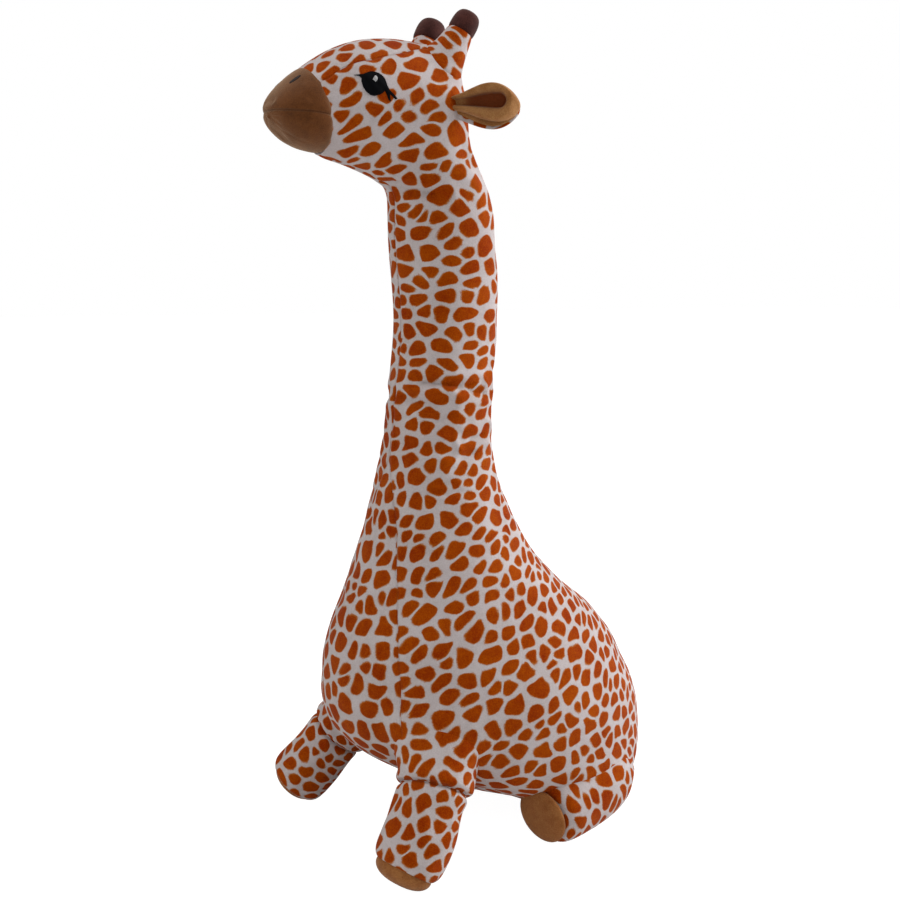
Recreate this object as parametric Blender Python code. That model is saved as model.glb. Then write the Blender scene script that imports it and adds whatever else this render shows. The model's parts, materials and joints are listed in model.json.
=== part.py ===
"""A sitting plush giraffe, 0.64 m tall, with a stuffed body, neck, head, legs, ears, horns and tail.

The giraffe faces -Y and its left side is +X. The origin is the middle of its flat seat, on the ground.
Every stuffed form is a sphere whose rings are laid on hand-chosen stations, so it swells and tapers.
"""
import math

import bmesh
import bpy
from mathutils import Matrix, Vector

# Clearances
GAP = 0.0003
FLOOR_CLEARANCE = 0.0003
CUT_OVERRUN = 0.02

# Body: a pear. The seat's middle lies behind the neck by a share of its length.
BODY_HEIGHT = 0.300
BODY_LENGTH = 0.268
BODY_WIDTH = 0.228
BODY_BASE_LIFT = 0.0005
SEAT_BEHIND_NECK_SHARE = 0.392

# Seat: a flat panel let into the body's underside, with a bag of pellets above it
SEAT_LENGTH = 0.084
SEAT_WIDTH = 0.096
SEAT_THICKNESS = 0.003
PELLET_BAG_LENGTH = 0.070
PELLET_BAG_WIDTH = 0.080
PELLET_BAG_HEIGHT = 0.026
PELLET_BAG_ROUND = 0.009

# Neck: a column with a round end in the body's hollow and another in the head's
NECK_ROOT_DIAMETER = 0.092
NECK_DIAMETER = 0.081
NECK_BOW = 0.004
NECK_BEND_ABOVE_BODY = 0.025
NECK_ROOT_BALL = 0.060
NECK_LENGTH = 0.145
NECK_TOP_BALL = 0.054
NECK_TAPER_SHARE = 0.4

# Head: an egg that looks forward, with a short throat that goes down to the neck
HEAD_LENGTH = 0.154
HEAD_DEPTH = 0.101
HEAD_WIDTH = 0.084
HEAD_RISE = 0.098
HEAD_REACH_BACK = 0.010
THROAT_HEIGHT = 0.116
THROAT_LEAN = 0.013

# Muzzle: the nose end of the egg, in two panels that meet at the mouth
MUZZLE_LENGTH = 0.033
MOUTH_DROP = 0.010

# Eyes: round embroidered patches
EYE_DIAMETER = 0.018
EYE_THICKNESS = 0.0009

# Ears: folded leaves of two fabrics
EAR_LENGTH = 0.053
EAR_WIDTH = 0.037
EAR_THICKNESS = 0.0042
EAR_CUP_DEPTH = 0.011
EAR_ROOT_BALL = 0.007
EAR_SWEEP = 43.0
EAR_DROOP = 2.0
EAR_ROOT_WIDTH_SHARE = 0.42
EAR_FLARE_SHARE = 0.55
EAR_LINING_START_SHARE = 0.08

# Horns: tapered stubs with round caps
HORN_LENGTH = 0.024
HORN_BASE_DIAMETER = 0.029
HORN_TOP_DIAMETER = 0.0215
HORN_LEAN = 25.0
HORN_TAPER_POWER_SHARE = 0.7
HORN_TIP_LENGTH = 0.015
HORN_TIP_DIAMETER = 0.0225

# Front legs: a short upper part, a sewn crease that bends, and a lower part with a sole
FRONT_UPPER_LENGTH = 0.044
FRONT_UPPER_DIAMETER = 0.056
FRONT_UPPER_SIDE_TURN = 48.0
FRONT_UPPER_DROP = 44.0
FRONT_BALL = 0.024
FRONT_LEG_LENGTH = 0.058
FRONT_LEG_DIAMETER = 0.056
FRONT_LEG_SIDE_TURN = 24.0
FRONT_LEG_DROP = 50.0
FRONT_FOOT_LIFT = 0.003

# Hind legs: they lie forward along the ground beside the body
HIND_BALL = 0.0265
HIND_LEG_LENGTH = 0.077
HIND_LEG_DIAMETER = 0.050
HIND_LEG_SIDE_TURN = 14.0
HIND_LEG_DROP = 10.5
HIND_FOOT_LIFT = 0.003

# Soles of all four legs
SOLE_THICKNESS = 0.006
SOLE_WIDTH_SHARE = 0.84

# Tail: a tube of stuffed fabric down the rump, with a tuft
TAIL_DIAMETER = 0.011
TAIL_LENGTH = 0.062
TAIL_ROOT_SWELL_SHARE = 1.08
TUFT_LENGTH = 0.028
TUFT_DIAMETER = 0.015
TAIL_SEAT_GAP = 0.0008

# Drawing of the joint empties, welding of tube ends, and shading
EMPTY_SIZE = 0.02
WELD_DISTANCE = 0.000001
SHARP_ANGLE = 40.0

# Facets
BODY_SEGMENTS = 36
BODY_RINGS = 24
NECK_SEGMENTS = 26
NECK_RINGS = 8
BALL_RINGS = 4
HEAD_SEGMENTS = 30
HEAD_RINGS = 19
LIMB_SEGMENTS = 20
LIMB_RINGS = 10
SMALL_SEGMENTS = 16
SMALL_RINGS = 8
SPHERE_SEGMENTS = 28
SPHERE_RINGS = 16
DISC_SEGMENTS = 28
TAIL_STEPS = 10
BACK_LINE_STEPS = 400

# Where the other pieces meet the body: shares of its width, of its length ahead of the neck, of its height
FRONT_CREASE_SHARES = (0.355, 0.195)
HIND_ROOT_SHARES = (0.307, -0.418)
TAIL_ROOT_HEIGHT_SHARE = 0.373
# Where pieces meet the head: shares of its length from the back, of its depth above the middle, of its width
EYE_SHARES = (0.571, 0.109)
EAR_SHARES = (0.130, -0.010)
HORN_SHARES = (0.097, 0.366, 0.250)

# Stations from the ground up: height, centre behind the neck, half length, half width.
# Height is a share of the body's height, width of its width, and the others of its length.
BODY_STATION_SHARES = (
    (0.000, 0.392, 0.000, 0.000),
    (0.000, 0.392, 0.095, 0.120),
    (0.000, 0.392, 0.170, 0.225),
    (0.010, 0.389, 0.192, 0.258),
    (0.033, 0.381, 0.210, 0.315),
    (0.080, 0.340, 0.236, 0.380),
    (0.123, 0.298, 0.308, 0.425),
    (0.167, 0.252, 0.375, 0.460),
    (0.217, 0.200, 0.443, 0.484),
    (0.267, 0.166, 0.483, 0.496),
    (0.317, 0.147, 0.498, 0.500),
    (0.365, 0.133, 0.496, 0.498),
    (0.410, 0.122, 0.484, 0.490),
    (0.465, 0.108, 0.465, 0.474),
    (0.520, 0.100, 0.441, 0.447),
    (0.577, 0.080, 0.405, 0.412),
    (0.630, 0.055, 0.358, 0.368),
    (0.687, 0.031, 0.311, 0.330),
    (0.740, 0.012, 0.268, 0.296),
    (0.797, 0.004, 0.240, 0.270),
    (0.853, -0.001, 0.212, 0.242),
    (0.907, -0.006, 0.188, 0.221),
    (1.000, -0.006, 0.172, 0.202),
    (1.060, -0.006, 0.090, 0.105),
    (1.060, -0.006, 0.000, 0.000),
)
# Stations from the back of the head to the nose: place along it, centre above the head's middle line,
# half depth, half width. The first is a share of the length, the last of the width, the others of the depth.
HEAD_STATION_SHARES = (
    (0.000, 0.070, 0.000, 0.000),
    (0.013, 0.070, 0.140, 0.180),
    (0.052, 0.060, 0.270, 0.320),
    (0.104, 0.040, 0.360, 0.405),
    (0.182, 0.020, 0.445, 0.465),
    (0.292, -0.005, 0.515, 0.500),
    (0.403, -0.038, 0.535, 0.506),
    (0.532, -0.022, 0.498, 0.494),
    (0.649, -0.006, 0.414, 0.464),
    (0.747, -0.020, 0.347, 0.435),
    (0.831, -0.032, 0.310, 0.393),
    (0.903, -0.052, 0.246, 0.326),
    (0.961, -0.072, 0.168, 0.234),
    (0.994, -0.084, 0.079, 0.119),
    (1.000, -0.089, 0.000, 0.000),
)
# Leg stations from the root to the flat end: place along it, half diameter share
FRONT_LEG_STATION_SHARES = ((0.00, 0.40), (0.22, 0.425), (0.45, 0.47), (0.68, 0.50), (0.86, 0.485),
                            (0.955, 0.44), (1.00, 0.37))
HIND_LEG_STATION_SHARES = ((0.00, 0.46), (0.25, 0.49), (0.50, 0.50), (0.75, 0.495), (0.90, 0.48),
                           (0.965, 0.44), (1.00, 0.37))
UPPER_LEG_STATION_SHARES = ((-0.35, 0.50), (0.10, 0.52), (0.45, 0.50), (0.72, 0.455), (0.86, 0.41))
TUFT_STATION_SHARES = ((0.00, 0.00), (0.03, 0.16), (0.12, 0.32), (0.30, 0.46), (0.50, 0.50),
                       (0.72, 0.40), (0.90, 0.22), (1.00, 0.00))
THROAT_STATION_SHARES = ((0.00, 0.00, 0.00), (0.00, 0.00, 0.50), (0.00, 0.00, 1.00), (0.32, 0.25, 1.00),
                         (0.65, 1.00, 0.90), (0.88, 1.00, 0.68), (1.00, 1.00, 0.00))
SOLE_STATION_SHARES = ((0.00, 0.00), (0.00, 0.50), (0.00, 0.95), (0.25, 1.00), (0.60, 0.86), (0.88, 0.55),
                       (1.00, 0.00))
HORN_TIP_STATION_SHARES = ((0.00, 0.00), (0.00, 0.28), (0.04, 0.42), (0.22, 0.50), (0.50, 0.47),
                           (0.78, 0.34), (0.94, 0.17), (1.00, 0.00))

NECK_LEAD = BODY_LENGTH * SEAT_BEHIND_NECK_SHARE
NECK_BEND_HEIGHT = BODY_HEIGHT + NECK_BEND_ABOVE_BODY
NECK_NOD_HEIGHT = NECK_BEND_HEIGHT + NECK_LENGTH
BEND_POINT = Vector((0, -NECK_LEAD, NECK_BEND_HEIGHT))
NOD_POINT = Vector((0, -NECK_LEAD, NECK_NOD_HEIGHT))
HEAD_CENTRE_HEIGHT = NECK_NOD_HEIGHT + HEAD_RISE
SIDES = {"left": 1, "right": -1}


def clear_scene():
    for obj in list(bpy.data.objects):
        bpy.data.objects.remove(obj)


def new_collection(name):
    collection = bpy.data.collections.new(name)
    bpy.context.scene.collection.children.link(collection)
    return collection


def material(name, colour, roughness=0.9):
    finish = bpy.data.materials.new(name)
    finish.use_nodes = True
    shader = finish.node_tree.nodes["Principled BSDF"]
    shader.inputs["Base Color"].default_value = (*colour, 1)
    shader.inputs["Roughness"].default_value = roughness
    shader.inputs["Metallic"].default_value = 0
    return finish


def catmull_rom(before, start, end, after, share):
    """A smooth curve from start to end, whose slopes come from the rows on either side."""
    square, cube = share * share, share * share * share
    return tuple(
        b + 0.5 * ((c - a) * share + (2 * a - 5 * b + 4 * c - d) * square + (3 * b - a - 3 * c + d) * cube)
        for a, b, c, d in zip(before, start, end, after)
    )


def smooth_rows(stations, count):
    """Spreads count rows evenly along the smooth curve through the stations."""
    steps_per_station = 12
    fine = []
    for i in range(len(stations) - 1):
        before = stations[max(i - 1, 0)]
        after = stations[min(i + 2, len(stations) - 1)]
        for step in range(steps_per_station):
            share = step / steps_per_station
            fine.append(catmull_rom(before, stations[i], stations[i + 1], after, share))
    fine.append(stations[-1])
    lengths = [0.0]
    for a, b in zip(fine, fine[1:]):
        lengths.append(lengths[-1] + math.dist(a, b))
    rows = []
    j = 0
    for i in range(count):
        wanted = lengths[-1] * i / (count - 1)
        while j < len(fine) - 2 and lengths[j + 1] < wanted:
            j += 1
        share = (wanted - lengths[j]) / (lengths[j + 1] - lengths[j])
        rows.append(tuple(a + (b - a) * share for a, b in zip(fine[j], fine[j + 1])))
    return rows


def smooth_step(value):
    """Rises from 0 to 1 with level ends."""
    value = max(0.0, min(1.0, value))
    return value * value * (3 - 2 * value)


def form_mesh(name, rows, segments):
    """Lays the rings of a UV sphere on rows of height, centre along Y, half size along Y and along X."""
    bm = bmesh.new()
    last = len(rows) - 1
    bmesh.ops.create_uvsphere(bm, u_segments=segments, v_segments=last, radius=1.0)
    for vert in bm.verts:
        ring = last - round(math.acos(max(-1.0, min(1.0, vert.co.z))) / math.pi * last)
        height, centre, half_y, half_x = rows[ring]
        around = math.atan2(vert.co.y, vert.co.x)
        if ring in (0, last):
            vert.co = (0, centre, height)
        else:
            vert.co = (half_x * math.cos(around), centre + half_y * math.sin(around), height)
    mesh = bpy.data.meshes.new(name)
    bm.to_mesh(mesh)
    bm.free()
    return mesh


def finish_mesh(mesh):
    mesh.shade_smooth()
    mesh.set_sharp_from_angle(angle=math.radians(SHARP_ANGLE))


def add_object(name, mesh, collection, finish=None):
    obj = bpy.data.objects.new(name, mesh)
    collection.objects.link(obj)
    if finish is not None:
        mesh.materials.append(finish)
    finish_mesh(mesh)
    return obj


def add_guide(name, mesh):
    """An object that only cuts or joins others."""
    obj = add_object(name, mesh, CUTTERS)
    obj.hide_render = True
    obj.display_type = "WIRE"
    return obj


def grown(mesh, distance, name):
    """A copy of a mesh whose skin is moved out by a distance."""
    bm = bmesh.new()
    bm.from_mesh(mesh)
    bm.normal_update()
    moved = [vert.co + vert.normal * distance for vert in bm.verts]
    for vert, place in zip(bm.verts, moved):
        vert.co = place
    copy = bpy.data.meshes.new(name)
    bm.to_mesh(copy)
    bm.free()
    return copy


def sphere_mesh(name, centre, radius, segments=SPHERE_SEGMENTS, rings=SPHERE_RINGS):
    bm = bmesh.new()
    bmesh.ops.create_uvsphere(bm, u_segments=segments, v_segments=rings, radius=radius)
    bmesh.ops.translate(bm, verts=bm.verts, vec=centre)
    mesh = bpy.data.meshes.new(name)
    bm.to_mesh(mesh)
    bm.free()
    return mesh


def hollow_mesh(name, centre, radius, segments=SPHERE_SEGMENTS, rings=SPHERE_RINGS):
    """A sphere whose flat facets all lie outside a ball of this radius and the gap around it."""
    flat_share = math.cos(math.pi / segments) * math.cos(math.pi / 2 / rings)
    return sphere_mesh(name, centre, (radius + GAP) / flat_share, segments, rings)


def box_mesh(name, low, high):
    bm = bmesh.new()
    size = Vector(high) - Vector(low)
    middle = (Vector(high) + Vector(low)) / 2
    place = Matrix.Translation(middle) @ Matrix.Diagonal((*size, 1))
    bmesh.ops.create_cube(bm, size=1.0, matrix=place)
    mesh = bpy.data.meshes.new(name)
    bm.to_mesh(mesh)
    bm.free()
    return mesh


def disc_mesh(name, half_x, half_y, bottom, top, round_edge):
    """A flat oval plate with rounded edges."""
    bm = bmesh.new()
    height = top - bottom
    bmesh.ops.create_cone(bm, cap_ends=True, segments=DISC_SEGMENTS, radius1=1, radius2=1, depth=height)
    for vert in bm.verts:
        vert.co = (vert.co.x * half_x, vert.co.y * half_y, vert.co.z + bottom + height / 2)
    if round_edge:
        rims = [edge for edge in bm.edges if abs(edge.verts[0].co.z - edge.verts[1].co.z) < height / 2]
        bmesh.ops.bevel(bm, geom=rims, offset=round_edge, segments=2, profile=0.5, affect="EDGES")
    mesh = bpy.data.meshes.new(name)
    bm.to_mesh(mesh)
    bm.free()
    return mesh


def boolean(target, guide, operation="DIFFERENCE"):
    modifier = target.modifiers.new(guide.name, "BOOLEAN")
    modifier.operation = operation
    modifier.solver = "EXACT"
    modifier.object = guide


def add_joint(name, place, parent=None):
    """An empty on a joint's axis, which carries the pieces that move there."""
    empty = bpy.data.objects.new(name, None)
    empty.empty_display_size = EMPTY_SIZE
    PARTS.objects.link(empty)
    empty.matrix_world = Matrix.Translation(place)
    if parent is not None:
        hang(empty, parent)
    return empty


def hang(piece, parent):
    """Parents a piece and leaves it where it is."""
    bpy.context.view_layer.update()
    piece.parent = parent
    piece.matrix_parent_inverse = parent.matrix_world.inverted()


def axis_frame(origin, direction, up=Vector((0, 0, 1))):
    """A frame whose Z runs along a direction and whose X stays level."""
    along = Vector(direction).normalized()
    side = up.cross(along).normalized()
    other = along.cross(side)
    turn = Matrix((side, other, along)).transposed().to_4x4()
    return Matrix.Translation(origin) @ turn


def stand_flat(piece):
    """Cuts a piece flat where it would reach the ground."""
    boolean(piece, FLOOR)


def limb_rows(station_shares, length, diameter, count):
    """Rows of a round limb from its root to its flat end, closed at both ends."""
    stations = [(length * along, 0.0, diameter * half, diameter * half) for along, half in station_shares]
    rows = smooth_rows(stations, count)
    root, end = rows[0], rows[-1]
    half_share = 0.5
    inner_root = (root[0], 0.0, root[2] * half_share, root[3] * half_share)
    inner_end = (end[0], 0.0, end[2] * half_share, end[3] * half_share)
    return [(root[0], 0.0, 0.0, 0.0), inner_root, *rows, inner_end, (end[0], 0.0, 0.0, 0.0)]


def body_stations():
    return [
        (BODY_BASE_LIFT + BODY_HEIGHT * height, BODY_LENGTH * behind - NECK_LEAD,
         BODY_LENGTH * half_length, BODY_WIDTH * half_width)
        for height, behind, half_length, half_width in BODY_STATION_SHARES
    ]


def body_back(height):
    """How far back the body's rump reaches at a height."""
    rows = smooth_rows(body_stations(), BACK_LINE_STEPS)
    nearest = min((row for row in rows if row[2] > 0), key=lambda row: abs(row[0] - height))
    return nearest[1] + nearest[2]


def make_body():
    mesh = form_mesh("body", smooth_rows(body_stations(), BODY_RINGS), BODY_SEGMENTS)
    grown_body = grown(mesh, GAP, "body_and_gap")
    body = add_object("body", mesh, PARTS, SPOTTED)
    boolean(body, add_guide("neck_hollow", hollow_mesh("neck_hollow", BEND_POINT, NECK_ROOT_BALL)))
    top = box_mesh("above_the_body", (-BODY_WIDTH, -BODY_LENGTH - NECK_LEAD, NECK_BEND_HEIGHT),
                   (BODY_WIDTH, BODY_LENGTH, NECK_BEND_HEIGHT + BODY_HEIGHT))
    boolean(body, add_guide("above_the_body", top))
    recess = disc_mesh("seat_recess", SEAT_WIDTH / 2 + GAP, SEAT_LENGTH / 2 + GAP, -CUT_OVERRUN,
                       SEAT_THICKNESS + GAP, 0)
    boolean(body, add_guide("seat_recess", recess))
    pocket = disc_mesh("pellet_pocket", PELLET_BAG_WIDTH / 2 + GAP, PELLET_BAG_LENGTH / 2 + GAP, 0,
                       SEAT_THICKNESS + PELLET_BAG_HEIGHT + 2 * GAP, PELLET_BAG_ROUND)
    boolean(body, add_guide("pellet_pocket", pocket))
    return body, add_guide("body_and_gap", grown_body)


def make_seat():
    panel = disc_mesh("seat_panel", SEAT_WIDTH / 2, SEAT_LENGTH / 2, 0, SEAT_THICKNESS, 0)
    add_object("seat_panel", panel, PARTS, GROUND_FABRIC)
    bag = disc_mesh("pellet_bag", PELLET_BAG_WIDTH / 2, PELLET_BAG_LENGTH / 2, SEAT_THICKNESS + GAP,
                    SEAT_THICKNESS + GAP + PELLET_BAG_HEIGHT, PELLET_BAG_ROUND)
    add_object("pellet_bag", bag, PARTS, BAG_FABRIC)


def ball_rows(radius, rim_radius, pivot, direction):
    """Rows of a round end, from its pole to its rim, below the pivot (-1) or above it (1)."""
    widest = math.asin(rim_radius / radius)
    rows = []
    for i in range(BALL_RINGS + 1):
        angle = widest * i / BALL_RINGS
        reach = radius * math.sin(angle)
        rows.append((pivot + direction * radius * math.cos(angle), -NECK_LEAD, reach, reach))
    return rows


def make_neck(joint):
    root = ball_rows(NECK_ROOT_BALL, NECK_ROOT_DIAMETER / 2, NECK_BEND_HEIGHT, -1)
    top = ball_rows(NECK_TOP_BALL, NECK_DIAMETER / 2, NECK_NOD_HEIGHT, 1)
    low, high = root[-1][0], top[-1][0]
    rows = list(root)
    for i in range(1, NECK_RINGS):
        share = i / NECK_RINGS
        ease = smooth_step(share / NECK_TAPER_SHARE)
        half = (NECK_ROOT_DIAMETER + (NECK_DIAMETER - NECK_ROOT_DIAMETER) * ease) / 2
        bow = NECK_BOW * math.sin(math.pi * share) ** 2
        rows.append((low + (high - low) * share, -NECK_LEAD + bow, half, half))
    rows.extend(reversed(top))
    neck = add_object("neck", form_mesh("neck", rows, NECK_SEGMENTS), PARTS, SPOTTED)
    hang(neck, joint)


def head_mesh(name):
    """The whole egg, from the back of the head to the nose."""
    back = -NECK_LEAD + HEAD_REACH_BACK
    stations = [
        (HEAD_LENGTH * along, HEAD_DEPTH * rise, HEAD_DEPTH * half_depth, HEAD_WIDTH * half_width)
        for along, rise, half_depth, half_width in HEAD_STATION_SHARES
    ]
    mesh = form_mesh(name, smooth_rows(stations, HEAD_RINGS), HEAD_SEGMENTS)
    forward = Matrix(((1, 0, 0, 0), (0, 0, -1, back), (0, 1, 0, HEAD_CENTRE_HEIGHT), (0, 0, 0, 1)))
    mesh.transform(forward)
    return mesh


def make_head(joint):
    egg = head_mesh("head")
    eye_inner = add_guide("head_and_gap", grown(egg, GAP, "head_and_gap"))
    eye_outer = grown(egg, GAP + EYE_THICKNESS, "head_and_eye")
    seam = -NECK_LEAD + HEAD_REACH_BACK - HEAD_LENGTH + MUZZLE_LENGTH
    far = seam - HEAD_LENGTH
    mouth = HEAD_CENTRE_HEIGHT - MOUTH_DROP
    halves = {
        "muzzle_upper": (mouth + GAP / 2, mouth + HEAD_DEPTH),
        "muzzle_lower": (mouth - HEAD_DEPTH, mouth - GAP / 2),
    }
    for name, (low, high) in halves.items():
        panel = add_object(name, head_mesh(name), PARTS, TAN_FABRIC)
        kept = box_mesh(name + "_space", (-HEAD_WIDTH, far, low), (HEAD_WIDTH, seam - GAP, high))
        boolean(panel, add_guide(name + "_space", kept), "INTERSECT")
        hang(panel, joint)
    head = add_object("head", egg, PARTS, SPOTTED)
    half = NECK_DIAMETER / 2
    stations = [
        (NECK_NOD_HEIGHT + THROAT_HEIGHT * rise, -NECK_LEAD - THROAT_LEAN * lean, half * size, half * size)
        for rise, lean, size in THROAT_STATION_SHARES
    ]
    throat = add_guide("throat", form_mesh("throat", smooth_rows(stations, LIMB_RINGS), NECK_SEGMENTS))
    boolean(head, throat, "UNION")
    nose_side = box_mesh("nose_side", (-HEAD_WIDTH, far, mouth - HEAD_DEPTH),
                         (HEAD_WIDTH, seam, mouth + HEAD_DEPTH))
    boolean(head, add_guide("nose_side", nose_side))
    boolean(head, add_guide("head_hollow", hollow_mesh("head_hollow", NOD_POINT, NECK_TOP_BALL)))
    low = box_mesh("below_the_head", (-HEAD_WIDTH, far, NECK_BEND_HEIGHT),
                   (HEAD_WIDTH, HEAD_LENGTH, NECK_NOD_HEIGHT))
    boolean(head, add_guide("below_the_head", low))
    hang(head, joint)
    return head, eye_inner, eye_outer


def head_place(along_share, rise_share, across=0.0):
    """A place on the head, from shares of its length and depth."""
    forward = HEAD_REACH_BACK - HEAD_LENGTH * along_share
    return Vector((across, -NECK_LEAD + forward, HEAD_CENTRE_HEIGHT + HEAD_DEPTH * rise_share))


def make_eye(side, sign, joint, inner, outer_mesh):
    name = side + "_eye"
    eye = add_object(name, outer_mesh.copy(), PARTS, EYE_THREAD)
    eye.data.name = name
    bm = bmesh.new()
    bmesh.ops.create_cone(bm, cap_ends=True, segments=LIMB_SEGMENTS, radius1=EYE_DIAMETER / 2,
                          radius2=EYE_DIAMETER / 2, depth=HEAD_WIDTH)
    turn = Matrix.Rotation(math.radians(90), 4, "Y")
    centre = head_place(*EYE_SHARES, sign * HEAD_WIDTH / 2)
    bmesh.ops.transform(bm, matrix=Matrix.Translation(centre) @ turn, verts=bm.verts)
    mesh = bpy.data.meshes.new(name + "_outline")
    bm.to_mesh(mesh)
    bm.free()
    boolean(eye, add_guide(name + "_outline", mesh), "INTERSECT")
    boolean(eye, inner)
    hang(eye, joint)


def ear_point(sign):
    """The middle of the ear's root, on the side of the head."""
    ray_start = head_place(*EAR_SHARES, sign * HEAD_WIDTH)
    found, place, _, _ = bpy.data.objects["head_and_gap"].ray_cast(ray_start, Vector((-sign, 0, 0)))
    return place if found else ray_start


def make_ear(side, sign, head, head_joint):
    root = ear_point(sign)
    joint = add_joint(side + "_ear_joint", root, head_joint)
    sweep, droop = math.radians(EAR_SWEEP), math.radians(EAR_DROOP)
    level = math.cos(droop)
    along = Vector((sign * math.cos(sweep) * level, math.sin(sweep) * level, -math.sin(droop)))
    open_way = Vector((sign * math.sin(sweep), -math.cos(sweep), 0))
    across = open_way.cross(along)
    place = Matrix((along, across, open_way)).transposed().to_4x4()
    place.translation = root
    for name, half, finish in ((side + "_ear", -1, SPOTTED), (side + "_ear_lining", 1, TAN_FABRIC)):
        bm = bmesh.new()
        bmesh.ops.create_uvsphere(bm, u_segments=LIMB_SEGMENTS, v_segments=SMALL_RINGS, radius=1.0)
        start = EAR_LENGTH * EAR_LINING_START_SHARE if half > 0 else 0.0
        for vert in bm.verts:
            reach, wide, up = vert.co
            along_share = (reach + 1) / 2
            flare = smooth_step(along_share / EAR_FLARE_SHARE)
            narrow = EAR_ROOT_WIDTH_SHARE + (1 - EAR_ROOT_WIDTH_SHARE) * flare
            cup = EAR_CUP_DEPTH * wide * wide * narrow
            layer = half * (max(0.0, half * up) * EAR_THICKNESS + GAP / 2)
            vert.co = (start + (EAR_LENGTH - start) * along_share, EAR_WIDTH / 2 * wide * narrow, layer + cup)
        bmesh.ops.transform(bm, matrix=place, verts=bm.verts)
        mesh = bpy.data.meshes.new(name)
        bm.to_mesh(mesh)
        bm.free()
        ear = add_object(name, mesh, PARTS, finish)
        if half < 0:
            ball = sphere_mesh(name + "_root", root, EAR_ROOT_BALL, SMALL_SEGMENTS, SMALL_RINGS)
            boolean(ear, add_guide(name + "_root", ball), "UNION")
        else:
            ball = hollow_mesh(name + "_root", root, EAR_ROOT_BALL, SMALL_SEGMENTS, SMALL_RINGS)
            boolean(ear, add_guide(name + "_root", ball))
        hang(ear, joint)
    hollow = hollow_mesh(side + "_ear_hollow", root, EAR_ROOT_BALL, SMALL_SEGMENTS, SMALL_RINGS)
    boolean(head, add_guide(side + "_ear_hollow", hollow))


def make_horn(side, sign, joint, inner):
    lean = math.radians(HORN_LEAN)
    direction = Vector((0, math.sin(lean), math.cos(lean)))
    along_share, rise_share, across_share = HORN_SHARES
    base = head_place(along_share, rise_share, sign * HEAD_WIDTH * across_share)
    place = axis_frame(base, direction)
    half_base, half_top = HORN_BASE_DIAMETER / 2, HORN_TOP_DIAMETER / 2
    rows = [(-half_base, 0.0, 0.0, 0.0), (-half_base, 0.0, half_base / 2, half_base / 2)]
    for i in range(SMALL_RINGS):
        share = i / (SMALL_RINGS - 1)
        half = half_base + (half_top - half_base) * share ** HORN_TAPER_POWER_SHARE
        rows.append((-half_base + (HORN_LENGTH + half_base) * share, 0.0, half, half))
    rows.extend([(HORN_LENGTH, 0.0, half_top / 2, half_top / 2), (HORN_LENGTH, 0.0, 0.0, 0.0)])
    mesh = form_mesh(side + "_horn", rows, SMALL_SEGMENTS)
    mesh.transform(place)
    horn = add_object(side + "_horn", mesh, PARTS, SPOTTED)
    boolean(horn, inner)
    hang(horn, joint)
    tip_start = HORN_LENGTH + GAP
    stations = [(tip_start + HORN_TIP_LENGTH * along, 0.0, HORN_TIP_DIAMETER * half, HORN_TIP_DIAMETER * half)
                for along, half in HORN_TIP_STATION_SHARES]
    mesh = form_mesh(side + "_horn_tip", smooth_rows(stations, SMALL_RINGS + 4), SMALL_SEGMENTS)
    mesh.transform(place)
    hang(add_object(side + "_horn_tip", mesh, PARTS, HORN_FABRIC), joint)


def make_sole(name, place, length, diameter, joint):
    """A round pad on the flat end of a leg."""
    half = diameter * SOLE_WIDTH_SHARE / 2
    rows = [(length + GAP + SOLE_THICKNESS * rise, 0.0, half * size, half * size)
            for rise, size in SOLE_STATION_SHARES]
    mesh = form_mesh(name, rows, LIMB_SEGMENTS)
    mesh.transform(place)
    sole = add_object(name, mesh, PARTS, TAN_FABRIC)
    stand_flat(sole)
    hang(sole, joint)


def leg_direction(sign, side_turn, drop):
    turn, fall = math.radians(side_turn), math.radians(drop)
    return Vector((sign * math.sin(turn) * math.cos(fall), -math.cos(turn) * math.cos(fall), -math.sin(fall)))


def end_drop(length, diameter, drop):
    """How far below its root a leg's flat end reaches."""
    fall = math.radians(drop)
    return length * math.sin(fall) + diameter * SOLE_WIDTH_SHARE / 2 * math.cos(fall)


def body_place(sign, side_share, forward_share, height):
    return Vector((sign * BODY_WIDTH * side_share, -NECK_LEAD - BODY_LENGTH * forward_share, height))


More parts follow.
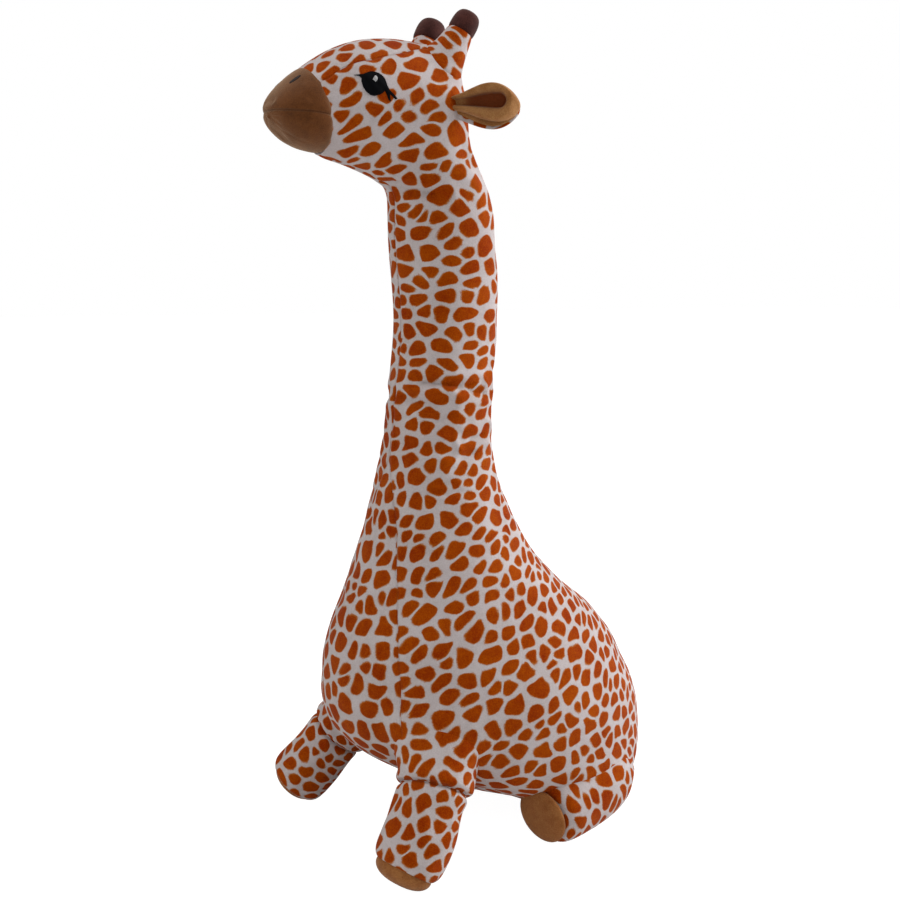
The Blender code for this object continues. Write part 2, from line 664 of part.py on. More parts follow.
def make_front_leg(side, sign, body, body_gap):
    height = end_drop(FRONT_LEG_LENGTH, FRONT_LEG_DIAMETER, FRONT_LEG_DROP) + FRONT_FOOT_LIFT
    crease = body_place(sign, *FRONT_CREASE_SHARES, height)
    upper_way = leg_direction(sign, FRONT_UPPER_SIDE_TURN, FRONT_UPPER_DROP)
    root = crease - upper_way * FRONT_UPPER_LENGTH
    name = side + "_front_leg_upper"
    rows = limb_rows(UPPER_LEG_STATION_SHARES, FRONT_UPPER_LENGTH, FRONT_UPPER_DIAMETER, LIMB_RINGS - 3)
    mesh = form_mesh(name, rows, LIMB_SEGMENTS)
    mesh.transform(axis_frame(root, upper_way))
    upper = add_object(name, mesh, PARTS, SPOTTED)
    boolean(upper, body_gap)
    hollow = add_guide(name + "_hollow", hollow_mesh(name + "_hollow", crease, FRONT_BALL))
    boolean(upper, hollow)
    boolean(body, hollow)
    joint = add_joint(side + "_front_leg_joint", crease)
    name = side + "_front_leg"
    place = axis_frame(crease, leg_direction(sign, FRONT_LEG_SIDE_TURN, FRONT_LEG_DROP))
    rows = limb_rows(FRONT_LEG_STATION_SHARES, FRONT_LEG_LENGTH, FRONT_LEG_DIAMETER, LIMB_RINGS)
    mesh = form_mesh(name, rows, LIMB_SEGMENTS)
    mesh.transform(place)
    leg = add_object(name, mesh, PARTS, SPOTTED)
    boolean(leg, body_gap)
    boolean(leg, add_guide(name + "_root", sphere_mesh(name + "_root", crease, FRONT_BALL)), "UNION")
    stand_flat(leg)
    hang(leg, joint)
    make_sole(side + "_front_sole", place, FRONT_LEG_LENGTH, FRONT_LEG_DIAMETER, joint)


def make_hind_leg(side, sign, body, body_gap):
    height = end_drop(HIND_LEG_LENGTH, HIND_LEG_DIAMETER, HIND_LEG_DROP) + HIND_FOOT_LIFT
    root = body_place(sign, *HIND_ROOT_SHARES, height)
    joint = add_joint(side + "_hind_leg_joint", root)
    name = side + "_hind_leg"
    place = axis_frame(root, leg_direction(sign, HIND_LEG_SIDE_TURN, HIND_LEG_DROP))
    rows = limb_rows(HIND_LEG_STATION_SHARES, HIND_LEG_LENGTH, HIND_LEG_DIAMETER, LIMB_RINGS)
    mesh = form_mesh(name, rows, LIMB_SEGMENTS)
    mesh.transform(place)
    leg = add_object(name, mesh, PARTS, SPOTTED)
    boolean(leg, body_gap)
    boolean(leg, add_guide(name + "_root", sphere_mesh(name + "_root", root, HIND_BALL)), "UNION")
    stand_flat(leg)
    hang(leg, joint)
    boolean(body, add_guide(name + "_hollow", hollow_mesh(name + "_hollow", root, HIND_BALL)))
    make_sole(side + "_hind_sole", place, HIND_LEG_LENGTH, HIND_LEG_DIAMETER, joint)
    boolean(bpy.data.objects[side + "_hind_sole"], body_gap)


def curve_mesh(name, points, diameter):
    """A filled tube through points, made a mesh with its caps welded."""
    curve = bpy.data.curves.new(name, "CURVE")
    curve.dimensions = "3D"
    curve.bevel_depth = diameter / 2
    curve.bevel_resolution = 3
    curve.use_fill_caps = True
    spline = curve.splines.new("POLY")
    spline.points.add(len(points) - 1)
    for point, place in zip(spline.points, points):
        point.co = (*place, 1)
    guide = bpy.data.objects.new(name + "_path", curve)
    CUTTERS.objects.link(guide)
    bpy.context.view_layer.update()
    mesh = bpy.data.meshes.new_from_object(guide.evaluated_get(bpy.context.evaluated_depsgraph_get()))
    bpy.data.objects.remove(guide)
    bm = bmesh.new()
    bm.from_mesh(mesh)
    bmesh.ops.remove_doubles(bm, verts=bm.verts, dist=WELD_DISTANCE)
    bm.to_mesh(mesh)
    bm.free()
    mesh.name = name
    return mesh


def make_tail():
    half = TAIL_DIAMETER / 2
    points = []
    for i in range(TAIL_STEPS + 1):
        height = BODY_HEIGHT * TAIL_ROOT_HEIGHT_SHARE - TAIL_LENGTH * i / TAIL_STEPS
        points.append(Vector((0, body_back(height) + half + TAIL_SEAT_GAP, height)))
    joint = add_joint("tail_joint", points[0])
    tail = add_object("tail", curve_mesh("tail", points, TAIL_DIAMETER), PARTS, SPOTTED)
    boolean(tail, add_guide("tail_root", sphere_mesh("tail_root", points[0], half * TAIL_ROOT_SWELL_SHARE,
                                                  SMALL_SEGMENTS, SMALL_RINGS)), "UNION")
    hang(tail, joint)
    end_way = (points[-1] - points[-2]).normalized()
    stations = [(GAP + TUFT_LENGTH * along, 0.0, TUFT_DIAMETER * share, TUFT_DIAMETER * share)
                for along, share in TUFT_STATION_SHARES]
    mesh = form_mesh("tail_tuft", smooth_rows(stations, LIMB_RINGS), SMALL_SEGMENTS)
    lift = Vector((1, 0, 0)).cross(end_way) * (TUFT_DIAMETER / 2 - half)
    mesh.transform(axis_frame(points[-1] + lift, end_way, up=Vector((1, 0, 0))))
    hang(add_object("tail_tuft", mesh, PARTS, HORN_FABRIC), joint)


clear_scene()
PARTS = new_collection("plush giraffe")
CUTTERS = new_collection("cutters")
SPOTTED = material("spotted plush", (0.55, 0.24, 0.07))
TAN_FABRIC = material("tan plush", (0.30, 0.16, 0.07))
HORN_FABRIC = material("dark brown plush", (0.06, 0.025, 0.028))
GROUND_FABRIC = material("plain seat fabric", (0.62, 0.58, 0.60))
BAG_FABRIC = material("pellet bag fabric", (0.7, 0.7, 0.68))
EYE_THREAD = material("black thread", (0.012, 0.012, 0.015), 0.45)
FLOOR = add_guide("ground", box_mesh("ground", (-BODY_WIDTH, -BODY_LENGTH, -BODY_HEIGHT),
                                     (BODY_WIDTH, BODY_LENGTH, FLOOR_CLEARANCE)))

body, body_gap = make_body()
make_seat()
bend_joint = add_joint("neck_joint", BEND_POINT)
make_neck(bend_joint)
nod_joint = add_joint("head_joint", NOD_POINT, bend_joint)
head, head_gap, head_eye_mesh = make_head(nod_joint)
bpy.context.view_layer.update()
for side, sign in SIDES.items():
    make_eye(side, sign, nod_joint, head_gap, head_eye_mesh)
    make_horn(side, sign, nod_joint, head_gap)
    make_ear(side, sign, head, nod_joint)
    make_front_leg(side, sign, body, body_gap)
    make_hind_leg(side, sign, body, body_gap)
make_tail()
bpy.context.view_layer.update()
print("sub-parts:", len([obj for obj in PARTS.objects if obj.type == "MESH"]))
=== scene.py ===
# %% [markdown]
# # A sitting plush giraffe
# The toy is a sewn skin of spotted short-pile fabric, filled with loose stuffing. Body, neck and head are
# one long sleeve with a flat seat, so they are modelled here as one long loft. Legs, ears, horns, muzzle,
# soles and tail are pieces of their own that are sewn to it, as on the real toy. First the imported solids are
# loaded: their joints and their size are what the skins are fitted to.

import json
import math

import bpy
import numpy as np
from mathutils import Matrix, Vector
from mathutils.interpolate import poly_3d_calc
from mathutils.kdtree import KDTree


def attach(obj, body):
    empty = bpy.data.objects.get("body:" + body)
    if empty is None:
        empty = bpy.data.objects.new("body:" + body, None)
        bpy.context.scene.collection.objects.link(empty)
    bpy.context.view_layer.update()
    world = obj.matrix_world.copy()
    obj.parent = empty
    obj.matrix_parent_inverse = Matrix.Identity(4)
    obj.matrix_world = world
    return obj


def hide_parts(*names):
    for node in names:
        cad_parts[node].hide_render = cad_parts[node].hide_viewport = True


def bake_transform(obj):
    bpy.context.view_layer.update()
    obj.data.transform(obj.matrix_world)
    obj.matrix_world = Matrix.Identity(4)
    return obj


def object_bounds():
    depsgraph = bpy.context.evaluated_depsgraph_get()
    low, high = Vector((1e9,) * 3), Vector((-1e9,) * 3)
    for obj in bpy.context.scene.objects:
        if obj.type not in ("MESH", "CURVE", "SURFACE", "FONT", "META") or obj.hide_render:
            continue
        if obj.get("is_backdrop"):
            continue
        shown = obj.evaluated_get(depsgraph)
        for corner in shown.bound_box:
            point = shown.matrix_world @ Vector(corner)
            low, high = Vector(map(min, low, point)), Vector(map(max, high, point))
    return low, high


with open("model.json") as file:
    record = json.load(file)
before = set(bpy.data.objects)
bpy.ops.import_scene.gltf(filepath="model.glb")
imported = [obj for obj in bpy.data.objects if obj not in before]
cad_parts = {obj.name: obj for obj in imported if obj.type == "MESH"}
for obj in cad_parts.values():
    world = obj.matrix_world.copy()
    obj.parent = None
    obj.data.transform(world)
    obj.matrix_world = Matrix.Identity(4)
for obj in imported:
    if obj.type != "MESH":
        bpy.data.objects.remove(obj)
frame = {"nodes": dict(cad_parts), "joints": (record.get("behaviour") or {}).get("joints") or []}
cad_box = [list(corner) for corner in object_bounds()]
for solid in frame["nodes"].values():
    solid.select_set(False)

MM = 0.001
JOINTS = {joint["name"]: joint for joint in frame["joints"]}
NECK_Y = JOINTS["neck_bend"]["pos_m"][1]
SIDES = {"left": 1, "right": -1}

# %% [markdown]
# ## Opening, turning and reading a piece
# An operator works on what is selected, so every helper first selects its own piece alone. Whole skins are
# also read and written as arrays of points, because a crease or a swell moves thousands of points at once.


# %% Small helpers
def deselect():
    for obj in bpy.context.selected_objects:
        obj.select_set(False)


def pick(obj):
    deselect()
    obj.select_set(True)
    bpy.context.view_layer.objects.active = obj


def edit(obj):
    pick(obj)
    bpy.ops.object.mode_set(mode="EDIT")


def leave():
    bpy.ops.object.mode_set(mode="OBJECT")


def edit_points(obj, chosen):
    """Opens a piece in edit mode with only the chosen points selected."""
    edit(obj)
    bpy.ops.mesh.select_mode(type="VERT")
    bpy.ops.mesh.select_all(action="DESELECT")
    leave()
    flags = np.zeros(len(obj.data.vertices), dtype=bool)
    flags[chosen] = True
    obj.data.vertices.foreach_set("select", flags)
    edit(obj)


def close_up():
    """Makes the faces of the open piece point outwards and leaves edit mode."""
    bpy.ops.mesh.select_all(action="SELECT")
    bpy.ops.mesh.normals_make_consistent(inside=False)
    leave()


def apply_all(obj):
    pick(obj)
    for modifier in list(obj.modifiers):
        bpy.ops.object.modifier_apply(modifier=modifier.name)


def subdivide_smooth(obj, levels):
    modifier = obj.modifiers.new("Smooth skin", "SUBSURF")
    modifier.levels = modifier.render_levels = levels
    modifier.uv_smooth = "PRESERVE_BOUNDARIES"
    apply_all(obj)


def coords(obj):
    flat = np.empty(len(obj.data.vertices) * 3)
    obj.data.vertices.foreach_get("co", flat)
    return flat.reshape(-1, 3)


def set_coords(obj, points):
    obj.data.vertices.foreach_set("co", np.ascontiguousarray(points).ravel())
    obj.data.update()


def normals(obj):
    flat = np.empty(len(obj.data.vertices) * 3)
    obj.data.vertex_normals.foreach_get("vector", flat)
    return flat.reshape(-1, 3)


def fade(value):
    """Rises from 0 to 1 with level ends, for arrays too."""
    value = np.clip(value, 0.0, 1.0)
    return value * value * (3 - 2 * value)


print("level at the ends:", fade(0.0), fade(1.0))

# %% [markdown]
# ## The loft
# Every stuffed form is a tube that swells and tapers. By hand it starts as a circle, which is extruded ring
# by ring, and each new ring is moved, turned and resized. A curve with a bevel could make a tube too, but
# not one whose width and depth change apart, as they do on a toy that is flatter at its seams.


# %% A circle extruded ring by ring
class Ring:
    """A ring: its centre, its half width and half depth in metres, and the way it faces."""

    def __init__(self, centre, half_width, half_depth, way=(0, 0, 1)):
        self.centre = Vector(centre)
        self.half_width = max(half_width, 1e-6)
        self.half_depth = max(half_depth, 1e-6)
        way = Vector(way).normalized()
        self.tilt = math.degrees(math.atan2(-way.y, way.z))
        self.yaw = 0.0
        if abs(way.x) > 1e-6:
            self.tilt = math.degrees(math.acos(way.z))
            self.yaw = math.degrees(math.atan2(way.x, -way.y))


def face_ring(ring, centre, back=False):
    """Turns the selected ring from level to the way it faces, or back."""
    # Without a window the operator turns the other way, so the sign is changed
    turns = [(ring.tilt, "X"), (ring.yaw, "Z")]
    for degrees, axis in reversed(turns) if back else turns:
        bpy.ops.transform.rotate(value=math.radians(degrees if back else -degrees), orient_axis=axis,
                                 orient_type="GLOBAL", center_override=centre)


def loft(name, rings, columns, close_end=True):
    """Extrudes a circle through the rings. Each point keeps the number of its column."""
    deselect()
    first = rings[0]
    bpy.ops.mesh.primitive_circle_add(vertices=columns, radius=1.0, fill_type="NOTHING", location=(0, 0, 0))
    obj = bpy.context.object
    obj.name = obj.data.name = name
    obj.data.attributes.new("column", "INT", "POINT").data.foreach_set("value", list(range(columns)))
    bpy.ops.object.mode_set(mode="EDIT")
    bpy.ops.mesh.select_mode(type="EDGE")
    bpy.ops.mesh.select_all(action="SELECT")
    bpy.ops.transform.resize(value=(first.half_width, first.half_depth, 1), center_override=(0, 0, 0))
    bpy.ops.transform.translate(value=first.centre)
    face_ring(first, first.centre)
    bpy.ops.mesh.extrude_edges_move()
    bpy.ops.mesh.merge(type="CENTER")
    bpy.ops.mesh.select_all(action="DESELECT")
    bpy.ops.mesh.select_non_manifold()
    for before, ring in zip(rings, rings[1:]):
        bpy.ops.mesh.extrude_edges_move()
        bpy.ops.transform.translate(value=ring.centre - before.centre)
        face_ring(before, ring.centre, back=True)
        grow = (ring.half_width / before.half_width, ring.half_depth / before.half_depth, 1)
        bpy.ops.transform.resize(value=grow, center_override=ring.centre)
        face_ring(ring, ring.centre)
    if close_end:
        bpy.ops.mesh.extrude_edges_move()
        bpy.ops.mesh.merge(type="CENTER")
    close_up()
    return obj


print("each ring has a centre, a half width and a half depth")

# %% [markdown]
# ## Measures from the side
# Such a toy is measured from a side photograph. A place is written as millimetres forward of the neck's
# axis, up from the ground and out to the side. A ring of the sleeve is written as the back and the front
# point of the side view and the half width, and a ring of a limb as the way along it and its two half sizes.


# %% Places and rings
def side_point(forward, up, across=0.0):
    return Vector((across * MM, NECK_Y - forward * MM, up * MM))


def rings_of(table):
    """Rings from rows of the side view: back forward, back up, front forward, front up, half width."""
    rings = []
    for back, back_up, front, front_up, half_width in table:
        start, end = side_point(back, back_up), side_point(front, front_up)
        way = Vector((1, 0, 0)).cross(start - end)
        rings.append(Ring((start + end) / 2, half_width * MM, (end - start).length / 2, way))
    return rings


def limb_rings(root, way, table, size=1.0):
    """Rings along a straight way: millimetres along it, half width and half depth."""
    return [Ring(root + way * (far * size) * MM, width * size * MM, depth * size * MM, way)
            for far, width, depth in table]


def between(rows, repeats):
    """Adds rows between the given ones on a smooth curve, where folds need more points."""
    out = []
    for i in range(len(rows) - 1):
        a, b, c, d = (rows[min(max(i + k, 0), len(rows) - 1)] for k in (-1, 0, 1, 2))
        for t in np.arange(repeats) / repeats:
            out.append(tuple(
                0.5 * (2 * q + (r - p) * t + (2 * p - 5 * q + 4 * r - s) * t * t
                       + (3 * q - p - 3 * r + s) * t ** 3)
                for p, q, r, s in zip(a, b, c, d)))
    out.append(rows[-1])
    return out


print("the neck's axis is at y", round(NECK_Y, 3))

# %% [markdown]
# ## Camera
# The photograph was taken from the giraffe's left front, a little above the middle of the neck and looking
# slightly down. The camera's place is given by its distance from the neck's axis, its bearing and its
# height, because these can be found one after the other by laying the outline over the photograph.

# %% Camera
CAMERA_DISTANCE = 1.100
CAMERA_BEARING = 59.6
CAMERA_YAW = -0.41
CAMERA_HEIGHT = 0.441
CAMERA_LOOKS_DOWN = 7.0
CAMERA_LENS = 56.0
bearing = math.radians(CAMERA_BEARING)
look = math.radians(CAMERA_BEARING + CAMERA_YAW)
down = math.radians(CAMERA_LOOKS_DOWN)
bpy.ops.object.camera_add(
    location=(CAMERA_DISTANCE * math.sin(bearing), NECK_Y - CAMERA_DISTANCE * math.cos(bearing),
              CAMERA_HEIGHT))
camera = bpy.context.object
camera.name = "camera"
away = Vector((-math.sin(look) * math.cos(down), math.cos(look) * math.cos(down), -math.sin(down)))
camera.rotation_mode = "QUATERNION"
camera.rotation_quaternion = away.to_track_quat("-Z", "Y")
camera.data.lens = CAMERA_LENS
camera.data.sensor_width = 36.0
bpy.context.scene.camera = camera
print("camera at", [round(value, 3) for value in camera.location])

# %% [markdown]
# ## Shader maths
# A material is a tree of nodes. Wrapped in a small class, a socket can be added and multiplied like a
# number, so a formula reads as a formula. One function makes every node: its kind, its settings and what
# goes into its sockets.


# %% Sockets and nodes
class Socket:
    """A shader socket that Python's operators work on."""

    def __init__(self, tree, link):
        self.tree = tree
        self.link = link

    def maths(self, operation, *values):
        return node(self.tree, "ShaderNodeMath", {"operation": operation}, dict(enumerate(values)))

    def __add__(self, other):
        return self.maths("ADD", self, other)

    def __sub__(self, other):
        return self.maths("SUBTRACT", self, other)

    def __mul__(self, other):
        return self.maths("MULTIPLY", self, other)

    def __rsub__(self, other):
        return self.maths("SUBTRACT", other, self)

    __radd__ = __add__
    __rmul__ = __mul__

    def step(self, low, high, to_low=0.0, to_high=1.0):
        """A smooth change from one value to another while this goes from low to high."""
        return node(self.tree, "ShaderNodeMapRange", {"interpolation_type": "SMOOTHSTEP"},
                    {"Value": self, "From Min": low, "From Max": high, "To Min": to_low, "To Max": to_high})


def node(tree, kind, settings=None, inputs=None, output=0):
    """One node: its settings, then its sockets by name or number, and the output that is wanted."""
    made = tree.nodes.new(kind)
    for key, value in (settings or {}).items():
        setattr(made, key, value)
    for key, value in (inputs or {}).items():
        if isinstance(value, Socket):
            tree.links.new(value.link, made.inputs[key])
        else:
            made.inputs[key].default_value = value
    return Socket(tree, made.outputs[output])


def mix_colour(tree, share, first, second):
    return node(tree, "ShaderNodeMix", {"data_type": "RGBA"}, {0: share, 6: first, 7: second}, output=2)


def vectors(tree, operation, *values):
    return node(tree, "ShaderNodeVectorMath", {"operation": operation}, dict(enumerate(values)))


def cloudy(tree, place, scale, detail, output=0):
    return node(tree, "ShaderNodeTexNoise", {}, {"Vector": place, "Scale": scale, "Detail": detail}, output)


def stored(tree, name):
    """A value that the piece's points carry."""
    return node(tree, "ShaderNodeAttribute", {"attribute_name": name}, output=2)


def linear(red, green, blue):
    """A colour from its 0 to 255 values on the screen."""
    return tuple((value / 255) ** 2.2 for value in (red, green, blue)) + (1.0,)


def new_material(name, **constants):
    """A material with its tree and its shader, whose constants are set on the shader's own sockets."""
    made = bpy.data.materials.new(name)
    made.use_nodes = True
    shader = made.node_tree.nodes["Principled BSDF"]
    for key, value in constants.items():
        shader.inputs[key.replace("_", " ").title().replace("Ior", "IOR")].default_value = value
    return made, made.node_tree, shader


def plug(tree, shader, name, value):
    tree.links.new(value.link, shader.inputs[name])


print("a mid grey of 128 is", round(linear(128, 128, 128)[0], 3), "in linear light")

# %% [markdown]
# ## Floor, surroundings and lamps
# The photograph has a white ground and soft light: a large source from behind and to the right, which draws
# a bright rim along the neck, and weaker ones in front. The floor's colour is pale. What the camera sees
# directly of floor and surroundings is mixed towards white, which lights nothing, so the toy keeps its
# shading and its shadow on the floor.

# %% Floor and surroundings
FLOOR_SIZE = 30.0
FLOOR_GREY = (0.84, 0.84, 0.84, 1)
FLOOR_WHITE_SHARE = 0.75
FLOOR_WHITE = 1.30
WORLD_LIGHT = 0.42


def seen_directly(tree):
    """1 for what the camera sees itself or in a shiny surface, 0 for the light on the toy."""
    path = tree.nodes.new("ShaderNodeLightPath")
    seen = Socket(tree, path.outputs["Is Camera Ray"])
    return seen.maths("MAXIMUM", seen, Socket(tree, path.outputs["Is Glossy Ray"]))


bpy.context.scene.view_settings.view_transform = "Standard"
bpy.ops.mesh.primitive_plane_add(size=FLOOR_SIZE, location=(0, 0, 0))
floor = bpy.context.object
floor.name = "studio_floor"
floor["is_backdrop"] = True
floor_material, tree, shader = new_material("studio floor", base_color=FLOOR_GREY, roughness=1.0,
                                            specular_ior_level=0.0)
glow = node(tree, "ShaderNodeEmission", {}, {"Strength": FLOOR_WHITE})
mixed = node(tree, "ShaderNodeMixShader", {}, {
    0: seen_directly(tree) * FLOOR_WHITE_SHARE, 1: Socket(tree, shader.outputs[0]), 2: glow})
plug(tree, tree.nodes["Material Output"], "Surface", mixed)
floor.data.materials.append(floor_material)

world = bpy.data.worlds.new("studio")
bpy.context.scene.world = world
world.use_nodes = True
tree = world.node_tree
seen = seen_directly(tree)
plug(tree, tree.nodes["Background"], "Strength", seen.step(0, 1, WORLD_LIGHT, 1.0))
plug(tree, tree.nodes["Background"], "Color",
     mix_colour(tree, seen, (0.93, 0.95, 1.0, 1), (1.0, 1.0, 1.0, 1)))
print("the surroundings light the toy with strength", WORLD_LIGHT)

# %% Lamps
LAMPS_AIM = Vector((0, NECK_Y, 0.32))
# Each lamp: its name, place, size in metres, watts and colour
LAMPS = [
    ("softbox_back", (0.55, 1.6, 0.9), (1.0, 1.4), 34, (0.93, 0.94, 1.0)),
    ("softbox_left", (-0.7, -1.5, 0.9), (0.9, 1.4), 7, (1, 1, 1)),
    ("softbox_top", (0.3, 0.1, 1.9), (1.4, 1.4), 14, (0.97, 0.96, 1.0)),
    ("softbox_front", (1.6, -1.2, 1.0), (1.2, 1.2), 3, (1.0, 0.97, 0.94)),
]
for name, place, size, watts, colour in LAMPS:
    bpy.ops.object.light_add(type="AREA", location=place)
    lamp = bpy.context.object
    lamp.name = name
    lamp.data.shape = "RECTANGLE"
    lamp.data.size, lamp.data.size_y = size
    lamp.data.energy = watts
    lamp.data.color = colour
    lamp.rotation_mode = "QUATERNION"
    lamp.rotation_quaternion = (LAMPS_AIM - Vector(place)).to_track_quat("-Z", "Y")
print("lamps:", len(LAMPS))

# %% [markdown]
# ## Plain plush
# The muzzle, the soles, the ear linings, the horn caps and the tuft are of one-coloured short pile. Hair
# strands would be far too heavy for a pile of a millimetre. A fine grain on soft clumps as a bump, a little
# sheen where the pile is seen from the side, and two tones of the colour are enough. A seam darkens along
# the stored distance to it. In the hollow of the ear the lining is painted darker and redder: this is
# painted shade, standing in for the little light that gets in there.

# %% Plain plush
PILE_GRAIN = 0.0009
CLUMP_GRAIN = 0.006
STITCH_DEPTH = 0.0005
PUCKER_DEPTH = 0.0010
WIDEST_STITCH = 0.0013


def pile(tree, place):
    """The brushed pile: fine grain on soft clumps, as a bump."""
    fine = cloudy(tree, place, 1 / PILE_GRAIN, 3.0)
    clumps = cloudy(tree, place, 1 / CLUMP_GRAIN, 2.0)
    bump = node(tree, "ShaderNodeBump", {},
                {"Strength": 0.35, "Distance": 0.0009, "Height": fine * 0.7 + clumps * 0.5})
    return fine, clumps, bump


def bump_by(tree, height, normal):
    """A bump whose height is in metres, on top of another."""
    return node(tree, "ShaderNodeBump", {},
                {"Strength": 1.0, "Distance": 1.0, "Height": height, "Normal": normal})


def plain_plush(name, base, dark, sheen=0.12, tint=(235, 225, 215), seamed=False, hollow_shade=None):
    """A one-coloured pile fabric."""
    made, tree, shader = new_material(name, roughness=0.95, sheen_weight=sheen, sheen_roughness=0.45,
                                      sheen_tint=linear(*tint), specular_ior_level=0.15)
    place = node(tree, "ShaderNodeTexCoord", output=3)
    fine, clumps, normal = pile(tree, place)
    streaks = cloudy(tree, place, 60.0, 4.0)
    shade = (fine * 0.5 + clumps * 0.3 + streaks * 0.4).step(0.35, 0.85)
    colour = mix_colour(tree, shade, linear(*dark), linear(*base))
    # Painted shade: the lining is mixed towards a dark red-brown where the stored share of shade in the ear's
    # hollow says.
    if hollow_shade:
        colour = mix_colour(tree, stored(tree, "hollow_shade") * 0.85, colour, linear(*hollow_shade))
    if seamed:
        seam = stored(tree, "seam")
        stitched = seam.maths("ABSOLUTE", seam).step(0.0, WIDEST_STITCH, 1.0, 0.0)
        colour = mix_colour(tree, stitched * 0.4, colour, linear(52, 30, 18))
        normal = bump_by(tree, stitched * -STITCH_DEPTH, normal)
    plug(tree, shader, "Normal", normal)
    plug(tree, shader, "Base Color", colour)
    return made


TAN_PLUSH = plain_plush("tan plush", (158, 106, 60), (120, 70, 34))
MUZZLE_PLUSH = plain_plush("muzzle plush", (106, 63, 32), (76, 43, 19), sheen=0.5, tint=(232, 204, 168),
                           seamed=True)
DARK_PLUSH = plain_plush("dark plum plush", (80, 46, 40), (46, 24, 21))
# The lining's third colour is painted shade for the hollow of the ear.
LINING_PLUSH = plain_plush("ear lining plush", (168, 122, 76), (130, 84, 44), hollow_shade=(104, 42, 16))
SEAT_FABRIC = plain_plush("seat fabric", (222, 218, 224), (190, 186, 192))
print("plain fabrics:", len(bpy.data.materials) - 1)

# %% [markdown]
# ## The giraffe print
# The spots are rounded cells with a pale web between them, as cracked mud has. A Voronoi texture gives such
# cells. Its distance to the nearest edge, averaged over four places close by, rounds their corners. The
# print lies on the cloth and not in space, so it is drawn on the unwrapped map, which is in real metres.
# Where two panels are sewn together the print jumps, because each panel was cut from another place of the
# cloth: `seam` is the stored distance to the seams, positive on the gussets, and `side` the distance to the
# middle, positive on the left.

# %% Giraffe print
SPOT_SPACING = 0.0137
SPOT_RANDOMNESS = 0.85
SPOT_ROUNDING = 0.10
SPOT_EDGE = 0.030
SPOT_WANDER = 0.009
PRINT_ASPECT = (0.94, 1.06)
GUSSET_JUMP = (0.313, 0.127, 0.0)
SIDE_JUMP = (0.171, 0.243, 0.0)
FAR = 0.05


def print_place(tree, seam, side):
    """The place on the printed cloth, with the jump of each panel and a slight wander of the outlines."""
    gusset = seam.maths("GREATER_THAN", seam, 0.0)
    leftward = side.maths("GREATER_THAN", side, 0.0) * (1 - gusset)
    place = node(tree, "ShaderNodeUVMap", {"uv_map": "cloth"})
    for panel, jump in ((gusset, GUSSET_JUMP), (leftward, SIDE_JUMP)):
        both = node(tree, "ShaderNodeCombineXYZ", {}, {0: panel, 1: panel})
        place = vectors(tree, "MULTIPLY_ADD", both, jump, place)
    wander = vectors(tree, "SUBTRACT", cloudy(tree, place, 60.0, 1.0, output=1), (0.5, 0.5, 0.5))
    place = vectors(tree, "MULTIPLY_ADD", wander, (SPOT_WANDER, SPOT_WANDER, 0.0), place)
    return vectors(tree, "MULTIPLY", place,
                   (PRINT_ASPECT[0] / SPOT_SPACING, PRINT_ASPECT[1] / SPOT_SPACING, 0.0))


def cells(tree, place, feature, output=0):
    return node(tree, "ShaderNodeTexVoronoi", {"voronoi_dimensions": "2D", "feature": feature},
                {"Vector": place, "Scale": 1.0, "Randomness": SPOT_RANDOMNESS}, output)


def spotted_plush(name):
    """Pale pile printed with brown spots."""
    made, tree, shader = new_material(name, roughness=0.95, sheen_weight=0.06, sheen_roughness=0.4,
                                      sheen_tint=linear(244, 226, 214), specular_ior_level=0.04)
    place = node(tree, "ShaderNodeTexCoord", output=3)
    seam, side = stored(tree, "seam"), stored(tree, "side")
    gusset = seam.maths("GREATER_THAN", seam, 0.0)
    printed = print_place(tree, seam, side)
    edges = []
    for across, along in ((1, 1), (-1, 1), (1, -1), (-1, -1)):
        beside = vectors(tree, "ADD", printed, (across * SPOT_ROUNDING, along * SPOT_ROUNDING, 0.0))
        edges.append(cells(tree, beside, "DISTANCE_TO_EDGE"))
    edge = (edges[0] + edges[1] + edges[2] + edges[3]) * 0.25
    edge = edge.maths("MINIMUM", edge, cells(tree, printed, "DISTANCE_TO_EDGE") * 1.8 - 0.02)
    chance = node(tree, "ShaderNodeSeparateColor", {}, {0: cells(tree, printed, "F1", output=1)})
    fuzz = cloudy(tree, place, 1100.0, 2.0)
    rounded = edge - cells(tree, printed, "F1") * 0.16 + (fuzz - 0.5) * 0.06 - chance * 0.03
    spot = rounded.step(SPOT_EDGE - 0.030, SPOT_EDGE + 0.035)
    core = rounded.step(SPOT_EDGE, SPOT_EDGE + 0.085)
    fine, clumps, normal = pile(tree, place)
    tone = cloudy(tree, place, 30.0, 3.0)
    grain = (fine * 0.6 + clumps * 0.25 + tone * 0.4).step(0.35, 0.9)
    brown = mix_colour(tree, grain, linear(122, 36, 0), linear(162, 74, 0))
    brown = mix_colour(tree, core, linear(158, 92, 34), brown)
    pale = mix_colour(tree, grain, linear(168, 157, 152), linear(192, 182, 179))
    colour = mix_colour(tree, spot, pale, brown)
    to_seam = seam.maths("MINIMUM", seam.maths("ABSOLUTE", seam), side.maths("ABSOLUTE", side) + gusset)
    stitched = to_seam.step(0.0, 0.0016, 1.0, 0.0)
    gathered = to_seam.step(0.001, 0.009, 1.0, 0.0)
    plug(tree, shader, "Base Color", mix_colour(tree, stitched * 0.16, colour, linear(92, 52, 36)))
    puckers = cloudy(tree, place, 150.0, 1.0) * gathered * PUCKER_DEPTH
    plug(tree, shader, "Normal", bump_by(tree, puckers - stitched * STITCH_DEPTH, normal))
    return made


SPOTTED_PLUSH = spotted_plush("spotted plush")
print("spots every", SPOT_SPACING / MM, "mm")

# %% [markdown]
# ## Thread
# Eyes and nostrils are satin stitch: strands of thread side by side, which a wave texture draws as a fine
# bump.

# %% Thread
STRAND = 0.0007


